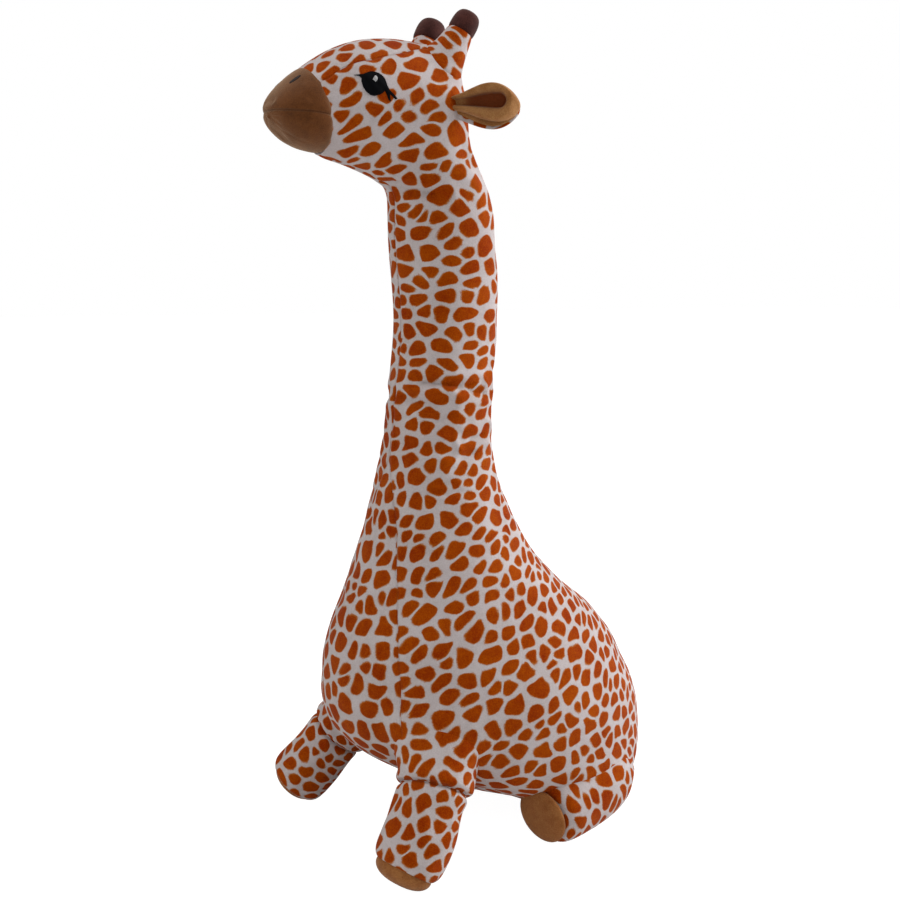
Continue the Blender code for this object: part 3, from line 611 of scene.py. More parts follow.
def thread(name, colour, roughness, shine=0.2):
    made, tree, shader = new_material(name, roughness=roughness, specular_ior_level=shine)
    place = node(tree, "ShaderNodeTexCoord", output=3)
    strands = node(tree, "ShaderNodeTexWave", {"bands_direction": "DIAGONAL"},
                   {"Vector": place, "Scale": 1 / (STRAND * 20), "Distortion": 1.5, "Detail": 1.0}, output=1)
    bump = node(tree, "ShaderNodeBump", {}, {"Strength": 0.5, "Distance": 0.0004, "Height": strands})
    plug(tree, shader, "Normal", bump)
    dark = tuple(channel * 0.55 for channel in linear(*colour)[:3]) + (1.0,)
    plug(tree, shader, "Base Color", mix_colour(tree, strands, dark, linear(*colour)))
    return made


THREAD = thread("black thread", (9, 9, 12), 0.8, shine=0.05)
GLINT = thread("white thread", (190, 188, 184), 0.6)
NOSTRIL_THREAD = thread("dark brown thread", (34, 20, 14), 0.7)
print("materials:", len(bpy.data.materials))

# %% [markdown]
# ## Laying the cloth
# A tailor cuts a flat panel and sews it to a tube. The way back is unwrapping: each skin is cut open along
# one column of points and laid flat, and its map is scaled to real metres, so a spot has the same size on
# every piece. The print on the real neck is wider and coarser than on the body, because the cloth is
# stretched there, and rows of densities along the sleeve do the same.


# %% Cloth maps and seam marks
def cloth_map(obj):
    """The map as an array, a row for each corner of each face."""
    flat = np.empty(len(obj.data.loops) * 2)
    obj.data.uv_layers["cloth"].data.foreach_get("uv", flat)
    return flat.reshape(-1, 2)


def set_cloth_map(obj, rows):
    obj.data.uv_layers["cloth"].data.foreach_set("uv", np.ascontiguousarray(rows).ravel())


def lay_cloth(obj, seam_column, cut_height=None, density=1.0):
    """Unwraps a skin along one column, also round the seat if a height is given, and scales the map."""
    mesh = obj.data
    while mesh.uv_layers:
        mesh.uv_layers.remove(mesh.uv_layers[0])
    mesh.uv_layers.new(name="cloth")
    column = np.empty(len(mesh.vertices), dtype=np.int32)
    mesh.attributes["column"].data.foreach_get("value", column)
    points = coords(obj)
    for edge in mesh.edges:
        on_column = all(column[i] == seam_column for i in edge.vertices)
        around = cut_height is not None and all(abs(points[i][2] - cut_height) < 1e-4 for i in edge.vertices)
        edge.use_seam = on_column or around
    edit(obj)
    bpy.ops.mesh.select_mode(type="FACE")
    bpy.ops.mesh.select_all(action="SELECT")
    bpy.ops.uv.unwrap(method="MINIMUM_STRETCH", iterations=20, margin=0.001)
    bpy.ops.uv.select_all(action="SELECT")
    bpy.ops.uv.align_rotation(method="GEOMETRY", axis="Z")
    leave()
    uv = cloth_map(obj)
    mesh.calc_loop_triangles()
    flat = sum(abs((b - a)[0] * (c - a)[1] - (b - a)[1] * (c - a)[0]) / 2
               for a, b, c in (uv[list(triangle.loops)] for triangle in mesh.loop_triangles))
    real = sum(triangle.area for triangle in mesh.loop_triangles)
    set_cloth_map(obj, uv * math.sqrt(real / flat) * density)
    print(obj.name, "cloth", round(real * 1e4), "cm2")


def stretch_print(obj, knots):
    """Rows of the place along the cloth and the print's density across and along it."""
    uv = cloth_map(obj)
    up = uv[:, 1] - uv[:, 1].min()
    middle = uv[:, 0].mean()
    places, across, along = (np.array(column) for column in zip(*knots))
    fine = np.linspace(0, up.max(), 300)
    density = np.interp(fine, places, along)
    grown = np.concatenate([[0], np.cumsum((density[1:] + density[:-1]) / 2 * np.diff(fine))])
    set_cloth_map(obj, np.stack([(uv[:, 0] - middle) * np.interp(up, places, across),
                                 np.interp(up, fine, grown)], 1))


def mark(obj, **distances):
    """Stores how far each point is from the seams, which the fabrics read."""
    for name in ("seam", "side"):
        values = distances.get(name, np.full(len(obj.data.vertices), -FAR))
        attribute = obj.data.attributes.get(name) or obj.data.attributes.new(name, "FLOAT", "POINT")
        attribute.data.foreach_set("value", np.clip(values, -FAR, FAR).astype(np.float32))


print("distances to the seams are kept up to", FAR / MM, "mm")

# %% [markdown]
# ## Stuffing
# A stuffed skin swells between its seams and stays put where thread holds it. The cloth simulation does this
# by pressure from inside. It also grows the whole skin, so the average growth is taken off again, and no
# point moves further than a cap. Modelling each swell by hand would be slower and too regular.

# %% Stuffing
STUFFING_PRESSURE = 4.0
STUFFING_FRAMES = 20


def stuff(obj, held, cap):
    rest, ways = coords(obj), normals(obj)
    sewn = obj.vertex_groups.new(name="sewn")
    sewn.add(np.nonzero(held)[0].tolist(), 1.0, "REPLACE")
    cloth = obj.modifiers.new("Stuffing", "CLOTH")
    cloth.settings.quality = 4
    cloth.settings.use_pressure = True
    cloth.settings.uniform_pressure_force = STUFFING_PRESSURE
    cloth.settings.effector_weights.gravity = 0.0
    cloth.settings.vertex_group_mass = "sewn"
    cloth.settings.shrink_min = -0.02
    cloth.settings.bending_stiffness = 0.4
    cloth.point_cache.frame_start = 1
    cloth.point_cache.frame_end = STUFFING_FRAMES
    for number in range(1, STUFFING_FRAMES + 1):
        bpy.context.scene.frame_set(number)
    apply_all(obj)
    bpy.context.scene.frame_set(1)
    moved = coords(obj) - rest
    out = (moved * ways).sum(1)
    moved -= ways * np.median(out[~held])
    moved[held] = 0
    length = np.linalg.norm(moved, axis=1)
    moved *= np.minimum(1.0, cap * MM / np.maximum(length, 1e-9))[:, None]
    set_coords(obj, rest + moved)
    print(obj.name, "stuffed, moved by up to", round(float(min(length.max() / MM, cap)), 1), "mm")


# %% [markdown]
# ## The long sleeve: body, neck and head
# The rings lie flat in the body and the neck. In the head they fan out round the crease under the chin,
# because there the sleeve turns forward. The rows come from the outline of the side view, and the neck's
# folds get more rows. The simulation holds the belly seams, the back seam, the seat and the muzzle's end.

# %% Sleeve
SLEEVE = [
    (-126, 1.2, -102, 1.2, 14), (-143, 1.2, -93, 1.2, 26), (-151, 4.0, -86, 4.0, 34),
    (-157.5, 11, -69, 11, 47), (-160, 24, -34, 24, 71), (-164, 37.4, -3, 37.4, 94.5),
    (-169, 50.6, 30, 50.6, 108), (-173, 65.6, 61, 65.6, 112), (-174, 80.6, 82, 80.6, 112.5),
    (-173, 95.6, 91.5, 95.6, 114), (-169, 110, 95.3, 110, 113.5), (-163.5, 123.5, 96.3, 123.5, 112),
    (-155.5, 140, 95.3, 140, 108), (-147.5, 156.5, 92.3, 156.5, 102), (-133.5, 173.6, 87.8, 173.6, 94),
    (-114, 189.5, 82, 189.5, 84.5), (-95, 206.6, 76, 206.6, 76), (-79, 222.5, 70, 222.5, 68.5),
    (-69, 239.6, 64.5, 239.6, 62.3), (-60, 256.4, 58.8, 256.4, 55.8), (-51, 272.6, 53.3, 272.6, 51),
    (-45.8, 288, 49.5, 288, 47.5), (-43.5, 303, 46.5, 303, 45.2), (-42.5, 318, 44, 318, 43.5),
    (-41.5, 333, 42, 333, 42.2), (-41.5, 350, 40.5, 350, 41.3), (-42.5, 370, 39, 370, 41),
    (-44, 390, 37.5, 390, 41), (-45, 410, 37, 410, 41), (-45.5, 430, 38.5, 430, 41),
    (-44.5, 450, 40.8, 450, 41), (-43, 470, 42.5, 470, 41), (-40.5, 488, 42.5, 488, 41),
]
HEAD = [
    (-37, 501, 42.3, 498.5, 41), (-32.5, 514, 42.8, 502.8, 41), (-26.5, 528, 43.8, 505, 41),
    (-21, 542, 45, 507, 41.2), (-18, 556, 46.8, 508.5, 41.8), (-16.5, 570, 49.3, 510, 42.3),
    (-14.5, 584, 52.8, 511.5, 42.6), (-10.5, 597, 57.3, 513.2, 42.6), (-3, 607, 62.3, 515.2, 42.6),
    (8, 613, 67.8, 517.7, 42.5), (22, 616, 74.5, 520.3, 42.4), (38, 617.8, 80.5, 522.8, 42.2),
    (52, 617.5, 85.8, 524.9, 41.6), (66, 616.2, 90.6, 526.7, 40.4), (79, 613.2, 94.8, 528.2, 38.8),
    (91, 608.5, 98.2, 529.4, 37), (102, 602.8, 100.8, 530.8, 35.4), (112, 596.3, 102.8, 531.8, 34.2),
    (119, 591, 104.4, 532.6, 33.2),
]
SLEEVE_COLUMNS = 40
FOLD_ROWS = slice(20, 27)
# The place along the cloth, the print's density across it and along it
SLEEVE_PRINT = [(0, 1.2, 1.06), (0.14, 1.2, 1.06), (0.36, 0.80, 1.0), (0.50, 0.80, 1.02), (0.60, 0.72, 0.91),
                (0.68, 0.84, 1.02), (0.9, 0.88, 1.04)]
# The belly seams as the stuffing feels them: half width and height
HELD_SEAM = ((40, 12), (57, 52), (65, 92), (65.7, 110), (58, 156), (47, 189), (30, 240), (14, 273), (0, 312))
HELD_EACH_SIDE = 5.0


def bow_sides(obj):
    """The muzzle's seam curves back a little on the sides of the head, with what lies near it."""
    points = coords(obj)
    forward = (NECK_Y - points[:, 1]) / MM
    near = fade((forward - 84) / 26) * (1 - fade((forward - 122) / 22))
    side = np.clip(np.abs(points[:, 0]) / (33 * MM), 0, 1) ** 2
    points[:, 1] += 1.0 * MM * near * side * (points[:, 2] > 0.5)
    set_coords(obj, points)


def held_by_seams(obj):
    points = coords(obj)
    across, up = np.abs(points[:, 0]) / MM, points[:, 2] / MM
    widths, heights = zip(*HELD_SEAM)
    on_belly = (np.abs(across - np.interp(up, heights, widths)) < HELD_EACH_SIDE) & (up < heights[-1])
    on_belly &= points[:, 1] < NECK_Y
    in_middle = (across < 1.0) & (points[:, 1] > NECK_Y)
    ends = (up < 12) | (points[:, 1] < NECK_Y - 112 * MM)
    return on_belly | in_middle | ends


sleeve_rows = SLEEVE[:FOLD_ROWS.start] + between(SLEEVE[FOLD_ROWS], 3) + SLEEVE[FOLD_ROWS.stop:]
sleeve = loft("torso_skin", rings_of(sleeve_rows + HEAD), SLEEVE_COLUMNS, close_end=False)
bow_sides(sleeve)
lay_cloth(sleeve, 0, cut_height=4.0 * MM)
stretch_print(sleeve, SLEEVE_PRINT)
subdivide_smooth(sleeve, 1)
stuff(sleeve, held_by_seams(sleeve), 2.2)
subdivide_smooth(sleeve, 2)
print("sleeve:", len(sleeve.data.vertices), "points")

# %% [markdown]
# ## Seams of the sleeve
# A gusset is let into the belly and another into the crown, and a seam runs down the middle of the back. The
# seam lines are given as places in the front and top view and laid on the skin by rays. Every point then
# gets its distance to them: the skin is drawn in there, and the fabric shows stitches, puckers and the jump
# of the print.

# %% Seams
# The belly seam's half width and height, and the crown seam's half width and place forward
BELLY_SEAM = [(0.5, 312), (1.6, 300), (14.8, 272.6), (23.5, 256.4), (30, 239.6), (35.2, 222.5),
              (41.2, 206.6), (47, 189.5), (53.1, 173.6), (58, 156.5), (63.1, 140), (65.2, 123.5),
              (65.7, 110), (65, 92), (62, 72), (57, 52), (48, 30), (40, 12)]
CROWN_SEAM = [(0, -14), (13, -10), (19.5, 2), (21, 14), (22, 28), (29, 46), (31.5, 61), (32, 75), (30, 87),
              (28.5, 100), (27, 114)]


def surface_line(obj, line, start, way):
    """Lays a line of places on a skin: each goes from its start along the way until it meets the surface."""
    found = []
    for (first, second), (next_first, next_second) in zip(line, line[1:]):
        for step in np.linspace(0, 1, 40, endpoint=False):
            origin = start(first + (next_first - first) * step, second + (next_second - second) * step)
            hit, place, _, _ = obj.ray_cast(origin, way)
            if hit:
                found.append(place)
    return found


def distance_to(places, points):
    tree = KDTree(len(places))
    for i, place in enumerate(places):
        tree.insert(place, i)
    tree.balance()
    return np.array([tree.find(point)[2] for point in points])


def seam_distances(obj):
    """Signed distance to the gussets' seams, positive on the gussets."""
    lines = []
    for sign in (1, -1):
        lines += surface_line(obj, BELLY_SEAM, lambda x, z: Vector((sign * x * MM, NECK_Y - 0.3, z * MM)),
                              Vector((0, 1, 0)))
        lines += surface_line(obj, CROWN_SEAM, lambda x, f: Vector((sign * x * MM, NECK_Y - f * MM, 0.8)),
                              Vector((0, 0, -1)))
    points = coords(obj)
    across, forward, up = np.abs(points[:, 0]) / MM, (NECK_Y - points[:, 1]) / MM, points[:, 2] / MM
    heights, widths = zip(*sorted((z, x) for x, z in BELLY_SEAM))
    on_belly = (across < np.interp(up, heights, widths)) & (forward > 0) & (up < 312)
    places, widths = zip(*((f, x) for x, f in CROWN_SEAM))
    on_crown = (across < np.interp(forward, places, widths)) & (up > 590 - 0.1 * forward) & (forward > -14)
    return distance_to(lines, points) * np.where(on_belly | on_crown, 1, -1)


def sink(obj, distance, depth, width):
    """Draws the skin in along a seam, where the thread holds it against the stuffing."""
    share = np.clip(1 - distance / (width * MM), 0, 1) ** 2
    set_coords(obj, coords(obj) - normals(obj) * (share * depth * MM)[:, None])


# %% [markdown]
# ## Neck creases
# Low on the neck the stuffing has settled, and the skin lies in soft folds. Each one is a line of places on
# the neck with a depth and a width. The points near it go in, those beside it come out a little, and it
# fades at its ends. The creases come before the seams are measured, because they move the surface.

# %% Neck creases
# Each crease: the places that it runs through (across, forward, up), then its depth and width
NECK_CREASES = [
    ([(22, 35, 363), (33, 24, 362), (38.5, 13, 361), (41, 2, 360), (40, -14, 361)], 4.6, 2.6),
    ([(40.5, 4, 357), (40, -12, 354), (32, -27, 351)], 3.2, 2.8),
    ([(2, 43, 352), (17, 39, 350), (28, 30, 348), (38, 16, 347)], 3.2, 3.6),
    ([(10, 43, 317), (28, 34, 313), (41, 16, 311.5)], 3.8, 3.2),
    ([(36, -24, 323), (42, -8, 319.5), (43.5, 4, 318.5)], 3.8, 2.8),
    ([(34, 23, 303), (43, 6, 305), (43, -12, 310)], 2.2, 4.5),
    ([(2, 46, 512), (11, 47.5, 510), (18, 41, 508), (28, 33, 505.5), (37, 18, 503)], 3.6, 3.0),
    ([(-14, 42, 349), (-34, 20, 351), (-41, -4, 354)], 2.6, 3.2),
    ([(-41, 4, 318), (-33, -26, 321)], 2.6, 3.0),
    ([(20, -38, 356), (-8, -43, 355), (-30, -30, 352)], 2.4, 3.2),
]
CREASE_FADES_OVER = 9.0


def crease_skin(obj, creases):
    points, ways = coords(obj), normals(obj)
    for line, depth, width in creases:
        line = [side_point(forward, up, across) for across, forward, up in line]
        places = [a.lerp(b, t) for a, b in zip(line, line[1:]) for t in np.linspace(0, 1, 8)]
        distance = distance_to(places, points) / (width * MM)
        ends = [np.linalg.norm(points - np.array(end), axis=1) for end in (places[0], places[-1])]
        strength = fade(np.minimum(*ends) / (CREASE_FADES_OVER * MM)) * depth * MM
        valley = np.exp(-distance ** 1.4)
        bulge = 0.30 * np.exp(-((distance - 2.6) / 1.3) ** 2)
        points -= ways * ((valley - bulge) * strength)[:, None]
    set_coords(obj, points)


crease_skin(sleeve, NECK_CREASES)
seam = seam_distances(sleeve)
side = coords(sleeve)[:, 0].copy()
sink(sleeve, np.minimum(np.abs(seam), np.where(seam > 0, FAR, np.abs(side))), 0.8, 6.0)
mark(sleeve, seam=seam, side=side)
print("points on the gussets:", int((seam > 0).sum()))

# %% [markdown]
# ## Dividing the sleeve
# The sleeve bends at two joints, low on the neck and at the head, and a skin can follow only one smooth
# bend. So it is parted at the fold between them, where both sides move together, and stays one skin to the
# eye. Each open end is turned inwards and closed, as a seam allowance is, so no gap shows.

# %% Dividing the sleeve
FOLD_FRONT, FOLD_BACK = side_point(45, 344.0), side_point(-45, 357.0)
FOLD_MIDDLE = side_point(0, 350.5)


def split_sleeve(obj, name):
    """Parts the mesh at the slanting fold and returns the upper piece."""
    edit(obj)
    bpy.ops.mesh.select_all(action="SELECT")
    plane = Vector((1, 0, 0)).cross(FOLD_BACK - FOLD_FRONT)
    bpy.ops.mesh.bisect(plane_co=FOLD_FRONT, plane_no=-plane)
    bpy.ops.mesh.select_mode(type="EDGE")
    bpy.ops.mesh.edge_split(type="EDGE")
    leave()
    slope = (FOLD_FRONT.z - FOLD_BACK.z) / (FOLD_FRONT.y - FOLD_BACK.y)
    above = [face.center.z > FOLD_FRONT.z + (face.center.y - FOLD_FRONT.y) * slope
             for face in obj.data.polygons]
    obj.data.polygons.foreach_set("select", above)
    edit(obj)
    bpy.ops.mesh.select_mode(type="FACE")
    bpy.ops.mesh.separate(type="SELECTED")
    leave()
    made = [other for other in bpy.context.selected_objects if other is not obj][0]
    made.name = made.data.name = name
    return made


def open_end(obj, near):
    """The points round the open end whose middle is nearest to a place."""
    edges = np.array([tuple(edge.vertices) for edge in obj.data.edges])
    index = np.empty(len(obj.data.loops), dtype=np.int32)
    obj.data.loops.foreach_get("edge_index", index)
    # An edge of an open end belongs to one face only
    links = {}
    for a, b in edges[np.bincount(index, minlength=len(edges)) == 1].tolist():
        links.setdefault(a, []).append(b)
        links.setdefault(b, []).append(a)
    points, ends, left = coords(obj), [], set(links)
    while left:
        walk, end = [left.pop()], []
        while walk:
            end.append(walk.pop())
            beside = [other for other in links[end[-1]] if other in left]
            left.difference_update(beside)
            walk += beside
        ends.append(end)
    return min(ends, key=lambda end: (Vector(points[end].mean(0)) - Vector(near)).length)


def tuck(obj, near, inward, steps):
    """Turns an open end inwards in steps of a share and a depth, and closes it."""
    rim = open_end(obj, near)
    centre = Vector(coords(obj)[rim].mean(0))
    edit_points(obj, rim)
    for share, depth in steps:
        bpy.ops.mesh.extrude_edges_move()
        bpy.ops.transform.resize(value=(share, share, share), center_override=centre)
        bpy.ops.transform.translate(value=Vector(inward) * depth * MM)
    bpy.ops.mesh.extrude_edges_move()
    bpy.ops.mesh.merge(type="CENTER")
    close_up()


head_skin = split_sleeve(sleeve, "head_skin")
tuck(sleeve, FOLD_MIDDLE, (0, 0, -1), ((0.97, 0.8), (0.93, 2.0)))
tuck(head_skin, FOLD_MIDDLE, (0, 0, 1), ((0.97, 0.8), (0.93, 2.0)))
tuck(head_skin, side_point(116, 562), (0, 1, 0), ((0.95, 1.2), (0.90, 3.0)))
print("head skin:", len(head_skin.data.vertices), "points, torso:", len(sleeve.data.vertices))

# %% [markdown]
# ## Muzzle
# The muzzle is a short cap of tan pile in two panels that meet at the mouth, sewn to the spotted sleeve. It
# is a loft that continues the head's rings. The simulation holds it at the mouth, which is then drawn in a
# little more.

# %% Muzzle
MUZZLE = [
    (110, 594, 98, 533.2, 27), (118.2, 592.3, 103.2, 531.8, 33.8), (121.4, 590.2, 106.4, 532.0, 34.4),
    (126.5, 585.8, 112.3, 533.0, 33.9), (131.5, 581.5, 118.8, 534.4, 31.8),
    (136.8, 576.4, 126.2, 537.9, 27.6), (141, 570.7, 133.2, 542.4, 21.6),
    (143.8, 564.5, 138.6, 547.6, 13.8), (144.6, 559.7, 142, 551.6, 5.5),
]
# The mouth seam seen from the side: forward and up
MOUTH = [(92, 554.5), (104, 555.8), (113, 557), (121.6, 558), (129.8, 558.6), (136.6, 559.1), (142, 560),
         (146, 560)]


def mouth_distance(obj):
    points = coords(obj)
    forward, up = zip(*MOUTH)
    return points[:, 2] - np.interp((NECK_Y - points[:, 1]) / MM, forward, up) * MM


muzzle = loft("muzzle", rings_of(MUZZLE), 32)
bow_sides(muzzle)
lay_cloth(muzzle, 0)
subdivide_smooth(muzzle, 1)
stuff(muzzle, (coords(muzzle)[:, 1] > NECK_Y - 122 * MM) | (np.abs(mouth_distance(muzzle)) < 1.5 * MM), 1.2)
subdivide_smooth(muzzle, 2)
mouth = mouth_distance(muzzle)
sink(muzzle, np.abs(mouth), 1.0, 5.0)
mark(muzzle, seam=mouth)
print("muzzle:", len(muzzle.data.vertices), "points")

# %% [markdown]
# ## Embroidered eyes and nostrils
# The eye is dense black stitching with two lashes and a white glint, and each nostril is a short stroke.
# Painted on, they would lack the thread's thickness. So each is a flat outline, laid on the skin by a
# shrinkwrap along one axis and raised by the thickness of the thread. The eye also swells a little towards
# its middle.

# %% Stitched patches
THREAD_HEIGHT = 0.9
# The eye seen from the side, forward and up: the corner, the lid, two lashes, then the ball's edge
EYE_OUTLINE = [
    (91, 585.0), (87.8, 585.4), (84.6, 585.9), (81.8, 587.0), (79.2, 588.0), (77, 588.1), (74.8, 587.6),
    (72.9, 587), (71.2, 585.8), (69.8, 584.2), (68.8, 582.4), (68.3, 580.4), (67.9, 578.4), (66.6, 575.7),
    (65.2, 574.1), (63.4, 572.6), (61.8, 570.9), (60.4, 569.4), (61.7, 568.7), (63.7, 570.2), (65.3, 571.7),
    (66.3, 572.2), (66.2, 570.4), (65.9, 568.3), (65.4, 567.4), (66.9, 567.9), (67.9, 569.8), (68.7, 572.1),
    (69.8, 574.6), (71.6, 572.9), (74.4, 571.3), (77.8, 570.4), (80.9, 571.0), (83.9, 573.5), (85.8, 577.0),
    (86.5, 580.4), (86.1, 582.9), (87.6, 584.3)]
GLINT_OUTLINE = [(76.6, 585.0), (75.6, 584.6), (75.2, 583.0), (75.9, 581.4), (77.0, 580.3), (77.9, 581.2),
                 (78.8, 582.0), (77.9, 583.5)]
# The nostril seen from above, across and forward
NOSTRIL_OUTLINE = [(12.3, 131.4), (12.6, 129.0), (13.2, 126.6), (14.4, 124.4), (15.6, 124.0), (15.9, 125.8),
                   (15.5, 128.2), (14.5, 130.4), (13.2, 131.8)]
BESIDE_HEAD, ABOVE_HEAD = 62, 640


def thread_patch(name, outline, target, axis, sign, swell=0.0):
    """Lays a flat outline on a skin along one axis and raises it."""
    deselect()
    bpy.ops.mesh.primitive_circle_add(vertices=len(outline), radius=1.0, fill_type="NGON",
                                      location=(0, 0, 0))
    patch = bpy.context.object
    patch.name = patch.data.name = name
    set_coords(patch, np.array([tuple(point) for point in outline]))
    bpy.ops.object.mode_set(mode="EDIT")
    bpy.ops.mesh.select_mode(type="FACE")
    bpy.ops.mesh.select_all(action="SELECT")
    bpy.ops.mesh.inset(thickness=0.35 * MM)
    bpy.ops.mesh.select_all(action="SELECT")
    bpy.ops.mesh.quads_convert_to_tris()
    bpy.ops.mesh.subdivide(number_cuts=3)
    leave()
    wrap = patch.modifiers.new("Laid on the skin", "SHRINKWRAP")
    wrap.target = target
    wrap.wrap_method = "PROJECT"
    wrap.use_project_x, wrap.use_project_z = axis == "X", axis == "Z"
    wrap.use_negative_direction, wrap.use_positive_direction = sign > 0, sign < 0
    apply_all(patch)
    lift = Vector((sign, 0, 0)) if axis == "X" else Vector((0, 0, sign))
    edit(patch)
    bpy.ops.mesh.select_all(action="SELECT")
    bpy.ops.transform.translate(value=lift * -0.4 * MM)
    bpy.ops.mesh.extrude_region_move(TRANSFORM_OT_translate={"value": lift * THREAD_HEIGHT * MM})
    leave()
    top = np.array([vertex.select for vertex in patch.data.vertices])
    if swell:
        points = coords(patch)
        reach = distance_to([Vector(point) for point in points[:len(outline)]], points)
        dome = fade(reach / (5 * MM)) * swell * MM
        set_coords(patch, points + np.where(top, dome, 0)[:, None] * np.array(lift))
    edit(patch)
    close_up()
    return patch


eyes, glints, nostrils = {}, {}, {}
for side, sign in SIDES.items():
    eye, glint = ([side_point(forward, up, sign * BESIDE_HEAD) for forward, up in outline]
                  for outline in (EYE_OUTLINE, GLINT_OUTLINE))
    nostril = [side_point(forward, ABOVE_HEAD, sign * across) for across, forward in NOSTRIL_OUTLINE]
    eyes[side] = thread_patch(side + "_eye_patch", eye, head_skin, "X", sign, swell=0.9)
    glints[side] = thread_patch(side + "_eye_glint", glint, eyes[side], "X", sign)
    nostrils[side] = thread_patch(side + "_nostril_stitch", nostril, muzzle, "Z", 1)
print("eye:", len(eyes["left"].data.vertices), "points")

# %% [markdown]
# ## Soft joins
# Where a horn or a leg is sewn to the sleeve, the stuffing fills the corner, and both skins swell into each
# other. A union with a fillet would melt them into one mesh, but they have to stay pieces of their own that
# move. So each skin is pushed out where the other is near, most where they meet, and then smoothed there.


# %% Soft joins
def height_above(obj, points):
    """How far each point lies outside another skin, negative inside it."""
    heights = np.empty(len(points))
    for i, point in enumerate(points):
        _, place, normal, _ = obj.closest_point_on_mesh(Vector(point))
        away = Vector(point) - place
        heights[i] = math.copysign(away.length, away.dot(normal))
    return heights


def swell_join(first, second, centre, reach, radius):
    """Fills the corner between two skins. The radius is a number or worked out from the points."""
    moves = []
    for obj, other in ((first, second), (second, first)):
        points, ways = coords(obj), normals(obj)
        near = np.nonzero(np.linalg.norm(points - np.array(centre), axis=1) < reach * MM)[0]
        room = (radius(points[near]) if callable(radius) else np.full(len(near), radius)) * MM
        gap = np.clip(room - np.abs(height_above(other, points[near])), 0, None)
        points[near] += ways[near] * (gap ** 2 / (4 * np.maximum(room, 1e-6)))[:, None]
        moves.append((obj, points, near[gap > 0.25 * room]))
    for obj, points, joined in moves:
        set_coords(obj, points)
        edit_points(obj, joined)
        bpy.ops.mesh.vertices_smooth(factor=0.5, repeat=8)
        leave()
    print(first.name, "swells into", second.name, "at", len(moves[0][2]), "points")


# %% [markdown]
# ## Horns
# Two spotted cones lean back from the crown, each with a cap of dark pile. The photograph shows the near cap
# a little slimmer and seated higher than the far one, so each side has its own rows.

# %% Horns
HORN_FORWARD, HORN_UP, HORN_ACROSS, HORN_SPLAY = 7.6, 604.0, 21.0, 7.0
HORN_LEAN = {"left": 29.5, "right": 27.0}
HORN_ROWS = [(-14, 16), (-7, 15.6), (0, 15.0), (6, 13.9), (11, 12.7), (17, 11.4), (23, 10.5), (25, 8)]
CAP_SIZE = {"left": 0.92, "right": 1.04}
CAP_ROWS = {"left": [(22.5, 9), (23.4, 11.4), (27, 11.5), (32, 11.4), (37, 10.2), (40.0, 7.0)],
            "right": [(20.5, 9), (21.4, 11.4), (25.5, 11.5), (31, 11.4), (36.6, 10.2), (39.8, 7.4)]}
HORN_COLUMNS = 20


def round_rows(rows, size=1.0):
    """Rows of a round limb: its half width is also its half depth."""
    return [(far, radius * size, radius * size) for far, radius in rows]


horns, horn_caps = {}, {}
for side, sign in SIDES.items():
    lean, splay = math.radians(HORN_LEAN[side]), math.radians(HORN_SPLAY)
    way = Vector((sign * math.sin(splay), math.sin(lean), math.cos(lean))).normalized()
    root = side_point(HORN_FORWARD, HORN_UP, sign * HORN_ACROSS)
    horns[side] = loft(side + "_horn_skin", limb_rings(root, way, round_rows(HORN_ROWS)), HORN_COLUMNS)
    lay_cloth(horns[side], 0)
    subdivide_smooth(horns[side], 3)
    swell_join(horns[side], head_skin, root, 34, 9.0)
    cap_rows = round_rows(CAP_ROWS[side], CAP_SIZE[side])
    horn_caps[side] = loft(side + "_horn_cap", limb_rings(root, way, cap_rows), HORN_COLUMNS)
    subdivide_smooth(horn_caps[side], 2)
print("horns:", len(horns))

# %% [markdown]
# ## Ears
# An ear is two leaves sewn edge to edge, spotted behind and tan in front, and folded lengthwise at its root.
# Each leaf is a flat loft laid along the ear and then cupped. The tan leaf's edges are rolled into two soft
# lips with a deep hollow between them, which a shape rule over the leaf's width and length gives more evenly
# than hand moves.

# %% Ears
EAR_SWEEP, EAR_DROP = 43.0, -0.06
EAR_ROOT = (10, 569, 36)
EAR_CUP = 9.0
LIP_HEIGHT = 9.5
# Rows of each leaf: place along it, half width, half thickness
EAR_BACK = [(-5, 6.5, 3), (3, 8, 3.2), (12, 11.2, 3.2), (22, 14.6, 3.2), (32, 16.6, 3.2), (40, 15.4, 3),
            (46, 11, 2.6), (50, 5.5, 2.0), (51.2, 2.5, 1.2)]
EAR_LINING = [(-2, 5.2, 1.5), (6, 7.2, 2), (14, 10.4, 2), (23, 14, 2), (32, 16, 2), (40, 15, 2),
              (46.5, 10.6, 1.8), (50.5, 5.4, 1.3), (52, 2, 1.0)]


def roll_lips(obj, wide, far, high):
    """How far the lips rise at each point of the lining. It also stores how much painted shade darkens the
    lining in the cup between the lips.
    """
    half = np.interp(far, (0, 8, 16, 25, 33, 60), (5.5, 7, 10, 13.5, 15.5, 15.5))
    share = np.hypot((wide - 0.22 * half) / half, np.clip((far - 37) / 16, 0, 1))
    roll = np.sqrt(np.clip(1 - ((share - 0.66) / 0.34) ** 2, 0, 1))
    grown = np.interp(far, (0, 6, 15, 24, 34, 42, 47, 51), (0.35, 0.55, 0.8, 1.0, 1.0, 1.0, 0.9, 0.5))
    front = fade((high - np.median(high) + 0.4) / 1.2)
    # Painted shade: the lining is painted darker towards the middle of the cup between the lips, on its open
    # side.
    hollow_shade = front * fade((0.42 - share) / 0.14) * fade((far - 6) / 10)
    attribute = obj.data.attributes.new("hollow_shade", "FLOAT", "POINT")
    attribute.data.foreach_set("value", hollow_shade.astype(np.float32))
    return LIP_HEIGHT * roll * grown * front


